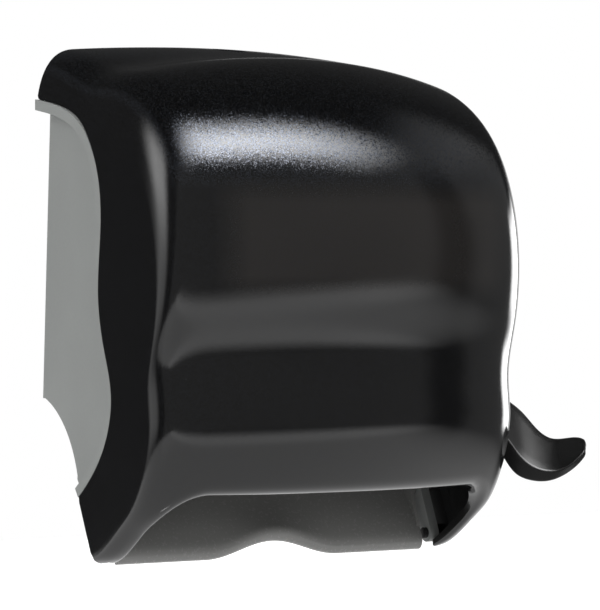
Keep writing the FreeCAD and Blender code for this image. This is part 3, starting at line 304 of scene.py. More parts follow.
# %% The two recipes
mould_grain, colour_drift, resin_ior, tool_marks = 2600.0, 0.04, 1.48, 900.0


def plastic(name, colour, rough, depth=0.00003):
    """Plastic or rubber with a grain of the given depth, in metres."""
    material, tree, shader, where = new_material(name)
    fill(tree, shader, IOR=resin_ior,
         Base_Color=two_tone(tree, noise(tree, where, 14.0), colour, 1 - colour_drift, 1 + colour_drift),
         Roughness=spread(tree, noise(tree, where, mould_grain * 0.2), rough * 0.9, rough * 1.1))
    bump(tree, shader, noise(tree, where, mould_grain, 2.0), depth)
    return material


def metal(name, colour, rough, stretch=(1.0, 1.0, 1.0)):
    """Metal whose fine marks may be stretched one way."""
    material, tree, shader, where = new_material(name)
    streaks = noise(tree, where, tool_marks, 5.0, stretch)
    fill(tree, shader, Metallic=1.0,
         Base_Color=two_tone(tree, noise(tree, where, 60.0), colour, 0.93, 1.05),
         Roughness=spread(tree, streaks, rough * 0.75, rough * 1.35))
    bump(tree, shader, streaks, 0.00001)
    return material


# %% [markdown]
# ## The smoked cover's finish
# The cover is tinted acrylic with a fine pearl in it: a clear glossy resin, nearly black, with a thin
# scatter of silver flakes. The resin alone gives crisp, dark mirrors. In front of the open roll space,
# light that would come back through the shell is painted into the resin's colour as a brown glow.

# %% Colours, and zones of the front in metres
# The second colour and the first zone are painted light: a brown glow, painted where light would come back
# through the shell from the roll space.
smoke, smoke_painted_glow, flake_silver = (0.0040, 0.0038, 0.0037), (0.0205, 0.0185, 0.0170), (0.045, 0.049, 0.058)
painted_glow_zone = {"x_half": 0.094, "x_soft": 0.010, "z_middle": 0.001, "z_half": 0.029, "z_soft": 0.008}
crown_zone = {"x_half": 0.1195, "x_soft": 0.002, "z_middle": 0.082, "z_half": 0.042, "z_soft": 0.010}


def blend_colours(tree, share, first, second):
    mixer = add_node(tree, "ShaderNodeMix", {"data_type": "RGBA"}, Factor=share, A=first, B=second)
    return mixer.outputs["Result"]


def window(tree, value, middle, half, soft):
    """One up to about half away from the middle, falling evenly to zero beyond it."""
    away = tree_math(tree, "ABSOLUTE", tree_math(tree, "SUBTRACT", value, middle))
    return spread(tree, away, 1.0, 0.0, half - soft, half + soft)


def zone(tree, place, x_half, x_soft, z_middle, z_half, z_soft):
    """One over a rectangle of the front, falling to zero around it."""
    return tree_product(tree, window(tree, place.outputs["X"], 0.0, x_half, x_soft),
                        window(tree, place.outputs["Z"], z_middle, z_half, z_soft))


print("crown zone:", 2 * crown_zone["x_half"], "m wide and", 2 * crown_zone["z_half"], "m high")

# %% [markdown]
# ## Pearl
# Small cells picked at random stand for the flakes, because real flakes have no order either. Each lies a
# few degrees askew, so a flake shows only near a mirrored lamp, where it catches the lamp or misses it,
# and that makes the highlight sparkle. The pearl is dense over the crown, where the resin flows last when
# it is moulded, and thin everywhere else.

# %% Flakes in the resin
cells_per_metre, flake_tilt, thin_pearl = 1900.0, 0.15, 0.12
flake_from, flake_full = 0.35, 0.60              # random values where a cell starts and fully shines
resin_rough, flake_rough = 0.10, 0.13


def vector_math(tree, operation, *values):
    return tree_math(tree, operation, *values, kind="ShaderNodeVectorMath", result="Vector")


def flake_normal(tree, random_colour, flake):
    """The surface's own normal, tilted at random in every flake."""
    centred = vector_math(tree, "SUBTRACT", random_colour, (0.5, 0.5, 0.5))
    lean = add_node(tree, "ShaderNodeVectorMath", {"operation": "SCALE"}, Vector=centred,
                    Scale=spread(tree, flake, 0.0, flake_tilt, 0.0, 1.0)).outputs["Vector"]
    surface = add_node(tree, "ShaderNodeNewGeometry")
    return vector_math(tree, "NORMALIZE", vector_math(tree, "ADD", surface.outputs["Normal"], lean))


def smoked_acrylic():
    """Dark resin with a painted brown glow over the roll space, and flakes of silver in it."""
    material, tree, shader, where = new_material("smoked acrylic")
    place = add_node(tree, "ShaderNodeSeparateXYZ", Vector=where)
    cloud = noise(tree, where, 9.0)
    # Painted glow: over the roll space the resin's colour is painted browner, for light that would show
    # through the shell.
    resin = blend_colours(tree, zone(tree, place, **painted_glow_zone), two_tone(tree, cloud, smoke, 0.85, 1.15),
                          two_tone(tree, cloud, smoke_painted_glow, 0.9, 1.1))
    cells = add_node(tree, "ShaderNodeTexVoronoi", Vector=where, Scale=cells_per_metre)
    random = add_node(tree, "ShaderNodeSeparateColor", Color=cells.outputs["Color"])
    picked = spread(tree, random.outputs["Red"], 0.0, 1.0, flake_from, flake_full)
    dense = spread(tree, zone(tree, place, **crown_zone), thin_pearl, 1.0, 0.0, 1.0)
    flake = tree_product(tree, picked, dense)
    silver = two_tone(tree, random.outputs["Green"], flake_silver, 0.9, 1.1)
    fill(tree, shader, IOR=1.5, Base_Color=blend_colours(tree, flake, resin, silver), Metallic=flake,
         Roughness=spread(tree, flake, resin_rough, flake_rough, 0.0, 1.0))
    wave = bump(tree, shader, noise(tree, where, 260.0, 2.0), 0.000006, 0.4)
    fill(tree, wave, Normal=flake_normal(tree, cells.outputs["Color"], flake))
    return material


# %% [markdown]
# ## The finishes of this machine
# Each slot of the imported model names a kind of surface. A colour is the bare material's own, without any
# shine, and the roughness runs from polished chrome to rubber.

# %% One finish for each slot
finish = {
    "smoke_cover": smoked_acrylic(),
    "chassis_grey": plastic("chassis grey", (0.248, 0.257, 0.251), 0.42),
    "chute_grey": plastic("chute grey", (0.225, 0.225, 0.218), 0.26, depth=0.00001),
    "lever_black": plastic("lever black", (0.012, 0.012, 0.012), 0.24, depth=0.000002),
    "mechanism_grey": plastic("mechanism grey", (0.075, 0.075, 0.068), 0.45),
    "gear_white": plastic("gear white", (0.72, 0.71, 0.67), 0.35),
    "wheel_green": plastic("wheel green", (0.05, 0.22, 0.10), 0.38),
    "roller_rubber": plastic("roller rubber", (0.022, 0.022, 0.023), 0.72, depth=0.00008),
    "bumper_rubber": plastic("bumper rubber", (0.018, 0.018, 0.018), 0.78, depth=0.00008),
    "steel": metal("steel", (0.56, 0.57, 0.58), 0.28, (1.0, 30.0, 30.0)),
    "spring_steel": metal("spring steel", (0.48, 0.48, 0.50), 0.32),
    "lock_chrome": metal("lock chrome", (0.66, 0.66, 0.67), 0.12),
    "bush_brass": metal("bush brass", (0.63, 0.44, 0.19), 0.30),
}
print("finishes:", len(finish))

# %% [markdown]
# ## Dressing the solids
# Every solid of the frame keeps its shape and gets the finish of its slot. What is made again later hides
# its solid.

# %% Give each solid its finish
for name, solid in cad.items():
    solid.data.materials.clear()
    solid.data.materials.append(finish[slot_of[name]])
    for polygon in solid.data.polygons:
        polygon.material_index = 0
print("solids with a finish:", len(cad))

# %% [markdown]
# ## The chassis
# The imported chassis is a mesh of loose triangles. A copy whose triangles are joined lets light run
# smoothly over its curves. Most of its faces are flat, so the smoothing stops at any real bend, and the
# large flat faces lead the shading.

# %% Join and shade the chassis
real_bend = 3.0                  # degrees
chassis = in_scene("back_chassis_fine", cad["back_chassis"].data.copy())
work = bmesh.new()
work.from_mesh(chassis.data)
bmesh.ops.remove_doubles(work, verts=work.verts, dist=0.000004)
bmesh.ops.dissolve_degenerate(work, edges=work.edges, dist=0.000002)
work.to_mesh(chassis.data)
work.free()
worked(smooth(chassis, real_bend), "WEIGHTED_NORMAL", weight=100, keep_sharp=True)
dress(chassis, body_of["back_chassis"], slot_of["back_chassis"], "back_chassis")

# %% [markdown]
# ## Smooth curves
# A drawing gives a few points, and the line between them has to be fair. A cubic spline is such a line.
# Its functions are written out, because the cover's skin needs them along two directions at once.

# %% Spline functions
def spline_basis(knots, degree, t):
    """Value of every B-spline function at each t."""
    t = np.atleast_1d(np.asarray(t, float))[:, None]
    knots = np.asarray(knots, float)
    count = len(knots) - degree - 1
    span = np.clip(np.searchsorted(knots, t[:, 0], side="right") - 1, degree, count - 1)
    values = np.zeros((len(t), len(knots) - 1))
    values[np.arange(len(t)), span] = 1.0
    for d in range(1, degree + 1):
        k0, k1, k2, k3 = knots[:-d - 1], knots[d:-1], knots[1:-d], knots[d + 1:]
        low = np.where(k1 > k0, (t - k0) / np.where(k1 > k0, k1 - k0, 1.0), 0.0)
        high = np.where(k3 > k2, (k3 - t) / np.where(k3 > k2, k3 - k2, 1.0), 0.0)
        values = low * values[:, :-1] + high * values[:, 1:]
    return values


def end_slope(points, at):
    """Slope at a spline's end, from the curve through its nearest four points."""
    slope = np.zeros(points.shape[1])
    for i in range(4):
        others = [j for j in range(4) if j != i]
        weight = sum(np.prod([(at[0] - at[k]) / (at[i] - at[k]) for k in others if k != j])
                     / (at[i] - at[j]) for j in others)
        slope += weight * points[i]
    return slope


def spline_through(points):
    """Knots and poles of the cubic spline through points, spaced by the length of its chords."""
    points = np.array(points, float)
    at = np.concatenate([[0.0], np.cumsum(np.linalg.norm(np.diff(points, axis=0), axis=1))])
    knots = np.concatenate([[at[0]] * 3, at, [at[-1]] * 3])
    count = len(points) + 2
    system = np.zeros((count, count))
    system[:-2] = spline_basis(knots, 3, at)
    system[-2, :2] = np.array([-3.0, 3.0]) / (at[1] - at[0])
    system[-1, -2:] = np.array([-3.0, 3.0]) / (at[-1] - at[-2])
    wanted = np.vstack([points, end_slope(points[:4], at[:4]), end_slope(points[:-5:-1], at[:-5:-1])])
    return knots, np.linalg.solve(system, wanted)


def curve_through(points, steps):
    """Points at even steps along the cubic spline through a few points."""
    knots, poles = spline_through(points)
    return spline_basis(knots, 3, np.linspace(0, knots[-1], steps)) @ poles


# %% [markdown]
# ## The cover as one rule-made skin
# A side outline runs from the wall over the top, down the front and back under the chin. At every width
# the whole outline shrinks a little towards the wall and towards a low level, so one smooth surface holds
# the front, the top and all their rounded edges. A grid of points on that rule gives quads that reflect
# lamps without ripples, which the solid's loose triangles can't do.

# %% Sizes of the cover, in millimetres
width, height, depth, wall = 254.0, 326.0, 214.0, 2.6
bulge, waist_z, chin_z, round_z = 192.3, 124.0, 93.0, 50.0
waist_in, chin_in, chin_run, floor_from, floor_to = 14.0, 11.8, 102.0, 106.0, 142.0
crown_run, crown_power, top_fall, front_crown = 147.3, 0.825, 11.4, 1.55
corner_run, corner_drop, top_drop, low_rise = 26.0, 21.0, 50.3, 4.0
panel_bow, top_bow = 224.0, 1111.0
mouth_half, mouth_top, mouth_round, lip = 115.0, 46.5, 24.0, 7.0
hinge_y, hinge_z, cheek_r = -82.0, 11.0, 5.4
lock_y, lock_seat, lock_hole = -24.0, 319.5, 10.5
print("cover:", width, "wide,", height, "high and", depth, "mm deep")

# %% [markdown]
# The outline's points are worked out from the sizes. The crown is an arc between a circle and a square,
# the front falls to a waist, and below the chin the outline runs back to the floor.

# %% The side outline
def outline_points():
    """Points (y, z) of the outline, from the wall over the top and down the front to the floor."""
    middle = -(depth - crown_run)
    rise = height - top_fall - bulge
    points = [(0.0, height), (middle / 2, height - top_fall * 0.38)]
    for degrees in (90, 75, 60, 45, 30, 15, 0):
        angle = math.radians(degrees)
        across = math.cos(angle) ** crown_power if degrees < 90 else 0.0
        points.append((middle - crown_run * across, bulge + rise * math.sin(angle) ** crown_power))
    waist, chin = -(depth - waist_in), -(depth - chin_in)
    points.append(((waist - depth) / 2 - 2.0, (bulge + waist_z) / 2 + 4.0))
    points += [(waist, waist_z), (chin, chin_z)]
    for run, fall in ((0.03, 0.17), (0.145, 0.44), (0.29, 0.625), (0.455, 0.74), (0.665, 0.87),
                      (0.85, 0.96)):
        points.append((chin + chin_run * run, chin_z * (1 - fall)))
    return points + [(chin + floor_from, 0.0), (chin + floor_to, 0.0), (0.0, 0.0)]


print("outline of", len(outline_points()), "points")

# %% [markdown]
# The outline becomes a surface when its poles are repeated across the width, each row drawn in by the
# drop that its place asks for. A flat panel with a slight bow takes up the middle, and a tight bend
# either side of it.

# %% Poles of the skin
def skin_poles():
    """Knots down the outline, knots across the width, and the grid of poles."""
    half, panel = width / 2, width / 2 - corner_run
    span = panel / 2

    def drops(bow, drop):
        edge = (panel ** 2 / 2 + panel * corner_run) / bow
        quarter = [edge + drop, edge, panel * span / (2 * bow), 0.0]
        return np.array(quarter + quarter[::-1])

    across = np.array([-half, -half, -1.5 * span, -0.5 * span, 0.5 * span, 1.5 * span, half, half])
    front, top = drops(panel_bow, corner_drop), drops(top_bow, top_drop)
    low = top * low_rise / top[0]
    knots, side = spline_through(outline_points())
    y, above = side[:, :1], side[:, 1:] - round_z
    rounder = 1 + front_crown * np.clip(-y / 100.0, 0.0, 1.0)
    crowned = np.minimum(top, top[1]) * rounder + np.maximum(top - top[1], 0.0)
    shrink = np.where(above > 0, crowned / (height - round_z), low / round_z)
    poles = np.stack([np.broadcast_to(across, shrink.shape), np.where(y < 0, y * (1 - front / depth), y),
                      round_z + above * (1 - shrink)], axis=-1)
    cross_knots = np.cumsum([0, 0, 0, 2 * corner_run, span, span, span, span, 2 * corner_run, 0, 0])
    return knots, cross_knots, poles


outline_knots, cross_knots, poles = skin_poles()


def skin(u, v):
    """Points of the skin, in millimetres, on the grid of u down the outline and v across the width."""
    down = spline_basis(outline_knots, 3, u)
    across = spline_basis(cross_knots, 2, v)
    return np.einsum("ui,ijk,vj->uvk", down, poles, across)


print("skin of", poles.shape[0], "x", poles.shape[1], "poles")

# %% [markdown]
# A fine grid is laid on the surface. The last of the outline runs along the floor behind the arch and
# isn't needed, so the grid stops short of it.

# %% Evaluate the skin on a grid
rows, columns, floor_tail = 236, 118, 60.0
hair = np.array([0.0, 0.02, -0.01])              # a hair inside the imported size
u = np.linspace(0.0, outline_knots[-1] - floor_tail, rows)
v = np.linspace(0.0, cross_knots[-1], columns)
grid = skin(u, v) + hair
low, high = grid.min((0, 1)).round(1), grid.max((0, 1)).round(1)
print("skin:", rows, "x", columns, "points, from", low, "to", high)

# %% [markdown]
# ## Trimming the skin
# The skin is larger than the cover. A level is worked out at every point, positive where the cover keeps
# its wall, and each face is clipped where the level passes through zero. Three levels are needed: the
# wavy rear edge against the chassis, the arch under the chin, and the round seat of the lock in the top.

# %% Clip a mesh along a level
def trimmed(points, faces, level):
    """Keeps the part of a mesh where the level is positive.

    Returns points, faces and the point numbers of the new edge.
    """
    points, level = [tuple(p) for p in points], list(level)
    crossing, kept = {}, []
    for face in faces:
        inside = [level[i] > 0 for i in face]
        if all(inside):
            kept.append(tuple(face))
        elif any(inside):
            loop = []
            for a, b in zip(face, tuple(face[1:]) + tuple(face[:1])):
                if level[a] > 0:
                    loop.append(a)
                if (level[a] > 0) != (level[b] > 0):
                    key = (min(a, b), max(a, b))
                    if key not in crossing:
                        share = level[a] / (level[a] - level[b])
                        crossing[key] = len(points)
                        points.append(tuple(p + (q - p) * share for p, q in zip(points[a], points[b])))
                        level.append(0.0)
                    loop.append(crossing[key])
            kept.append(tuple(loop))
    used = sorted({i for face in kept for i in face})
    new = {old: index for index, old in enumerate(used)}
    edge = [new[i] for i in crossing.values() if i in new]
    return [points[i] for i in used], [tuple(new[i] for i in face) for face in kept], edge


def polyline_side(y, z, line):
    """Signed distance of points to a line of points: positive on its left."""
    line = np.asarray(line)
    start, step = line[:-1], np.diff(line, axis=0)
    dy, dz = y[:, None] - start[:, 0], z[:, None] - start[:, 1]
    along = np.clip((dy * step[:, 0] + dz * step[:, 1]) / (step ** 2).sum(1), 0.0, 1.0)
    gap = np.hypot(dy - along * step[:, 0], dz - along * step[:, 1])
    nearest = gap.argmin(1)
    pick = np.arange(len(y))
    turn = step[nearest, 0] * dz[pick, nearest] - step[nearest, 1] * dy[pick, nearest]
    return np.sign(turn) * gap[pick, nearest]


# %% [markdown]
# The rear edge follows the wavy rim of the chassis down to the round cheek at the hinge. The arch is a
# rounded rectangle seen from the front, and the lock's seat a circle seen from above.

# %% Levels of the cover
wall_gap, top_zone, far_away = 0.5, 300.0, 50.0


def rear_line():
    """The cover's wavy rear edge, from above the wall down to the round cheek at the hinge."""
    rim = [(4.0, 289.5), (-30.0, 283.3), (-62.0, 270.5), (-84.0, 245.0), (-91.0, 213.0), (-87.5, 165.0),
           (-95.0, 133.0), (-104.5, 104.0), (-97.0, 76.0), (-81.0, 56.5), (-60.5, 40.7)]
    cheek = [(hinge_y + cheek_r * math.cos(math.radians(a)), hinge_z + cheek_r * math.sin(math.radians(a)))
             for a in range(-26, -79, -4)]
    line = [tuple(p) for p in curve_through(rim, 160)]
    return np.array([(30.0, 289.5)] + line + cheek + [(cheek[-1][0], -20.0)])


def rear_level(points):
    """Distance in front of the rear edge and of the wall."""
    side = -polyline_side(points[:, 1], points[:, 2], rear_line())
    return np.minimum(side, -wall_gap - points[:, 1])


def arch_level(points):
    """Distance outside the arch under the chin."""
    across = np.maximum(np.abs(points[:, 0]) - mouth_half + mouth_round, 0.0)
    up = np.maximum(points[:, 2] - mouth_top + mouth_round, 0.0)
    return np.where(points[:, 1] < 0, np.hypot(across, up) - mouth_round, 1.0)


def lock_level(points):
    """Distance outside the lock's hole, for points of the top."""
    away = np.hypot(points[:, 0], points[:, 1] - lock_y) - lock_hole
    return np.where(points[:, 2] > top_zone, away, far_away)


print("rear edge of", len(rear_line()), "points")

# %% [markdown]
# A trimmed mesh has a new free edge, and the lip has to follow it from end to end. So the edge's points
# are put in order, each next to the one that it is joined to.

# %% Order an edge
def chain(points, faces, members):
    """Orders the free edges that run between the given points into one line of point numbers."""
    members, count = set(members), {}
    for face in faces:
        for a, b in zip(face, tuple(face[1:]) + tuple(face[:1])):
            key = (min(a, b), max(a, b))
            count[key] = count.get(key, 0) + 1
    links = {}
    for (a, b), uses in count.items():
        if uses == 1 and a in members and b in members:
            links.setdefault(a, []).append(b)
            links.setdefault(b, []).append(a)
    ends = [i for i, near in links.items() if len(near) == 1]
    at = min(ends, key=lambda i: points[i][0]) if ends else next(iter(links))
    line, seen = [at], {at}
    while True:
        near = [i for i in links[line[-1]] if i not in seen]
        if not near:
            return line
        line.append(near[0])
        seen.add(near[0])


# %% [markdown]
# The skin ends in its two side columns. Each side is closed by rows that run in towards a point of its
# middle, so that the faces stay quads right up to the rounded edge.

# %% Close the flat sides
side_middle, side_rings = (-20.0, 160.0), 46


def cell_faces(down, across, closed=False):
    """Quads between the rows of a grid; the rows of a closed grid run all the way round."""
    return [(r * across + c, r * across + (c + 1) % across,
             (r + 1) * across + (c + 1) % across, (r + 1) * across + c)
            for r in range(down - 1) for c in range(across if closed else across - 1)]


def flat_side(edge):
    """Rows of points from the skin's end column in towards the middle of the side."""
    middle = np.array([edge[0, 0], *side_middle])
    shares = np.linspace(0.0, 0.97, side_rings)
    return edge[:, None] + (middle - edge)[:, None] * shares[None, :, None]


left, right = flat_side(grid[:, 0]), flat_side(grid[:, -1])
whole = np.concatenate([left[:, :0:-1], grid, right[:, 1:]], axis=1)
flat = whole.reshape(-1, 3)
cells = cell_faces(*whole.shape[:2])
print("closed skin:", len(cells), "faces")

# %% [markdown]
# The rear edge and the lock's hole are cut first. The arch is cut twice: right along it, to learn where a
# sharp edge would run, and a lip's width outside it, where the roll starts.

# %% Trim the skin
points, faces, _ = trimmed(flat, cells, rear_level(flat))
points, faces, _ = trimmed(points, faces, lock_level(np.array(points)))
sharp_points, sharp_faces, sharp_edge = trimmed(points, faces, arch_level(np.array(points)))
sharp = np.array([sharp_points[i] for i in chain(sharp_points, sharp_faces, sharp_edge)])
points, faces, ridge_edge = trimmed(points, faces, arch_level(np.array(points)) - lip)
ridge = chain(points, faces, ridge_edge)
print("cover skin:", len(points), "points; lip line of", len(ridge), "points")

# %% [markdown]
# ## The rolled lip
# The arch under the chin isn't a sharp cut: the skin rolls into it. Between the ridge, where the skin
# starts to turn, and the tunnel wall behind the arch, each ridge point is joined to the wall by a curve
# that leaves the skin and meets the wall without a kink. Where the skin runs steeply back along the legs
# the roll is long, as it is when a mould maker rounds a narrow wedge. Its length is evened over a few
# neighbours, so that no step shows along the lip.

# %% Roll the skin into the arch
def bend_between(start, corner, end, t):
    """A point of the curve that leaves start and meets end along their lines to the corner."""
    return start * (1 - t) ** 2 + corner * 2 * t * (1 - t) + end * t ** 2


def nearest_on(line, point):
    """The spot of a line that is nearest to a point."""
    start, step = line[:-1], np.diff(line, axis=0)
    along = np.clip(((point - start) * step).sum(1) / (step ** 2).sum(1), 0.0, 1.0)
    spots = start + step * along[:, None]
    return spots[np.linalg.norm(spots - point, axis=1).argmin()]


lip_rings, flange, evened, roll_back = 9, 7.0, 9, 1.2


def lip_strip(ridge_points, corner_line):
    """Points and faces of the roll, and of a short flange behind it."""
    corners = np.array([nearest_on(corner_line, p) for p in ridge_points])
    reach = np.linalg.norm(ridge_points - corners, axis=1)
    around = np.pad(reach, evened // 2, mode="edge")
    reach = np.convolve(around, np.ones(evened) / evened, mode="valid")
    wall_points = corners + np.array([0.0, 1.0, 0.0]) * (reach * roll_back)[:, None]
    rings = []
    for t in np.linspace(0.0, 1.0, lip_rings):
        rings.append(bend_between(ridge_points, corners, wall_points, t))
    for back in (flange * 0.5, flange):
        rings.append(wall_points + np.array([0.0, back, 0.0]))
    return np.concatenate(rings), cell_faces(len(rings), len(ridge_points))


cheek_face, lip_stop, lip_stop_outside = 120.9, -88.4, -81.0     # the roll ends in front of the cheeks
ridge_points = np.array([points[i] for i in ridge])
lip_points, lip_faces = lip_strip(ridge_points, sharp)
stops = np.where(np.abs(lip_points[:, 0]) < cheek_face, lip_stop, lip_stop_outside)
lip_points, lip_faces, _ = trimmed(lip_points, lip_faces, stops - lip_points[:, 1])
print("lip:", len(lip_faces), "faces")

# %% [markdown]
# Skin and lip are joined along the ridge, their faces turned outwards, and the wall is laid inside them.

# %% Build the cover
seam, sliver = 0.00022, 0.00005                  # points closer than the seam are one, in metres


def add_part(work, part_points, part_faces):
    """Adds a sheet whose points are in millimetres."""
    made = [work.verts.new(tuple(c * mm for c in p)) for p in part_points]
    for face in part_faces:
        loop = [made[i] for i in face]
        if len(set(loop)) > 2:
            work.faces.new(loop)


work = bmesh.new()
add_part(work, points, faces)
add_part(work, lip_points, lip_faces)
bmesh.ops.remove_doubles(work, verts=work.verts, dist=seam)
bmesh.ops.dissolve_degenerate(work, edges=work.edges, dist=sliver)
bmesh.ops.recalc_face_normals(work, faces=work.faces)
front_face = min(work.faces, key=lambda f: f.calc_center_median().y)
if front_face.normal.y > 0:
    bmesh.ops.reverse_faces(work, faces=work.faces)
bmesh.ops.translate(work, verts=work.verts, vec=(0, 0, floor_of_part))
cover = mesh_object("cover_shell", [], [])
work.to_mesh(cover.data)
work.free()
worked(cover, "SOLIDIFY", thickness=wall * mm, offset=-1.0, use_even_offset=False)
dress(smooth(cover, 40.0), "cover", "smoke_cover", "front_cover")

# %% [markdown]
# ## What the cover carries inside
# The bare skin isn't yet a cover: it needs the cheeks that turn on the hinge pins, the cup and pad that
# hold the lock, and two ribs that keep the top stiff. They are plain turned and flat forms, set into the
# skin's wall.

# %% Hinge cheeks
pin_bore, cheek_in, bore_end, wall_middle = 2.06, 120.6, 124.1, 125.6
cheeks = []
for side in (1, -1):
    profile = [(bore_end, 0.0), (bore_end, pin_bore), (cheek_in, pin_bore), (cheek_in, cheek_r - 0.4),
               (cheek_in + 0.4, cheek_r), (wall_middle, cheek_r), (wall_middle, 0.0)]
    cheeks.append(turned("cheek", [(side * along, radius) for along, radius in profile],
                         (0.0, hinge_y, hinge_z + foot)))
dress(smooth(joined("hinge_cheeks", *cheeks), 30.0), "cover", "smoke_cover")

# %% [markdown]
# The top isn't flat, so a fitting that grows out of it has to know how high the wall is over each point.
# The cup's upper ring is laid on that height, just inside the wall, so that nothing shows from outside.

# %% The cup of the lock
def top_inside(x, y, below):
    """Height under the top's outer face over a point, from the nearest few points of the skin."""
    flat = grid[:90].reshape(-1, 3)
    gap = np.hypot(flat[:, 0] - x, flat[:, 1] - y)
    near = gap.argsort()[:3]
    weight = 1.0 / (gap[near] + 0.01)
    return float((flat[near, 2] * weight).sum() / weight.sum() - below)


cup_r, barrel, pad_r, pad_low, cup_top = 10.42, 8.0, 12.5, 312.0, 324.0
cup = [(cup_top, cup_r), (lock_seat, cup_r), (lock_seat, barrel), (pad_low, barrel), (pad_low, pad_r - 0.5),
       (pad_low + 0.5, pad_r), (cup_top, pad_r), (cup_top, cup_r)]
lock_cup = turned("lock_cup", cup, (0.0, lock_y, foot), "Z", 64)
for point in lock_cup.data.vertices:
    if point.co.z > (cup_top - 0.1) * mm + floor_of_part:
        point.co.z = top_inside(point.co.x / mm, point.co.y / mm, 0.6) * mm + floor_of_part
dress(smooth(lock_cup, 30.0), "cover", "smoke_cover")

# %% [markdown]
# A thin top bends when it is pressed. Two ribs run from front to back under it, each with its upper edge
# inside the wall.

# %% Top ribs
rib_x, rib_half, rib_low = 62.0, 0.9, height - 16.0
rib_front, rib_back = -57.0, -12.0
ribs = []
for x in (-rib_x, rib_x):
    under = [(rib_front, top_inside(x, rib_front, 2.2)), (rib_front + 3.0, rib_low),
             (rib_back - 4.0, rib_low), (rib_back, top_inside(x, rib_back, 6.0))]
    over = [(y, top_inside(x, y, 1.6)) for y in (rib_back, -24.0, -36.0, -48.0, rib_front + 1.0)]
    ribs.append(outlined("rib", under + over, x - rib_half, x + rib_half))
dress(joined("top_ribs", *ribs), "cover", "smoke_cover")

# %% [markdown]
# ## Trees of geometry nodes
# A tree is a recipe: it takes a few named sizes and a base mesh, and grows the piece from them. It suits
# what repeats or follows a path or a rule. Each tree here ends by making its copies real and giving them
# their finish, and the result is kept as a plain mesh, so that nothing depends on the tree later.

# %% Begin, end and run a tree
def new_tree(name, sizes):
    """A tree with a base mesh, named sizes and a finish as its inputs."""
    tree = bpy.data.node_groups.new(name, "GeometryNodeTree")
    tree.interface.new_socket("Base", in_out="INPUT", socket_type="NodeSocketGeometry")
    for label, value in sizes.items():
        size = tree.interface.new_socket(label, in_out="INPUT", socket_type="NodeSocketFloat")
        size.default_value = value
    tree.interface.new_socket("Finish", in_out="INPUT", socket_type="NodeSocketMaterial")
    tree.interface.new_socket("Piece", in_out="OUTPUT", socket_type="NodeSocketGeometry")
    return tree, tree.nodes.new("NodeGroupInput").outputs


def end_tree(tree, piece, given):
    """Makes the copies real, gives them their finish and leads them out."""
    real = add_node(tree, "GeometryNodeRealizeInstances", Geometry=piece)
    clad = add_node(tree, "GeometryNodeSetMaterial", Geometry=real.outputs["Geometry"],
                    Material=given["Finish"])
    add_node(tree, "NodeGroupOutput", Piece=clad.outputs["Geometry"])
    return tree


def grow(piece, tree, sizes, slot):
    """Runs a tree on a base mesh and keeps the result as the piece's own mesh."""
    rule = piece.modifiers.new("rule", "NODES")
    rule.node_group = tree
    for socket in tree.interface.items_tree:
        if socket.name in sizes:
            rule[socket.identifier] = sizes[socket.name]
        elif socket.name == "Finish":
            rule[socket.identifier] = finish[slot]
    return bake(piece)


# %% [markdown]
# ## The chute
# The chute is the plate that the towel slides over. Its side section is one curve from the hinge pegs
# down to a rolled edge, and across the width the edge rises in a cosine wave, so that fingers reach the
# towel in the middle. That is a rule, so a tree makes it: a flat grid whose points are laid on the
# section, then lifted by the wave, each by the share that its place on the section gives.

# %% The rule of the chute
def chute_tree():
    tree, given = new_tree("chute rule", {"Half width": 0.11, "Relief half": 0.05, "Relief height": 0.01})
    section = add_node(tree, "GeometryNodeMeshToCurve", Mesh=given["Base"]).outputs["Curve"]
    sheet = add_node(tree, "GeometryNodeMeshGrid", Size_X=1.0, Size_Y=1.0, Vertices_X=221, Vertices_Y=64)
    here = add_node(tree, "GeometryNodeInputPosition")
    spot = add_node(tree, "ShaderNodeSeparateXYZ", Vector=here.outputs["Position"])
    share = add_node(tree, "GeometryNodeInputNamedAttribute", {"data_type": "FLOAT"}, Name="lift share")
    along = tree_math(tree, "ADD", spot.outputs["Y"], 0.5)
    sample = add_node(tree, "GeometryNodeSampleCurve", {"mode": "FACTOR", "use_all_curves": True},
                      Curves=section, Value=share.outputs["Attribute"], Factor=along)
    on_section = add_node(tree, "ShaderNodeSeparateXYZ", Vector=sample.outputs["Position"])
    across = tree_product(tree, spot.outputs["X"], 2.0, given["Half width"])
    reach = tree_math(tree, "DIVIDE", tree_math(tree, "ABSOLUTE", across), given["Relief half"])
    turn = tree_product(tree, tree_math(tree, "MINIMUM", reach, 1.0), math.pi)
    wave = tree_product(tree, tree_math(tree, "ADD", tree_math(tree, "COSINE", turn), 1.0), 0.5)
    lift = tree_product(tree, wave, given["Relief height"], sample.outputs["Value"])
    height_there = tree_math(tree, "ADD", on_section.outputs["Z"], lift)
    place = add_node(tree, "ShaderNodeCombineXYZ", X=across, Y=on_section.outputs["Y"], Z=height_there)
    laid = add_node(tree, "GeometryNodeSetPosition", Geometry=sheet.outputs["Mesh"],
                    Position=place.outputs["Vector"])
    return end_tree(tree, laid.outputs["Geometry"], given)


def polyline(name, points):
    """A mesh of points, in millimetres, joined in a row for a tree to follow."""
    row = [(i, i + 1) for i in range(len(points) - 1)]
    return mesh_object(name, [[c * mm for c in p] for p in points], [], row)


# %% [markdown]
# The section is given by eight points, each with its y, its height and its share of the wave.

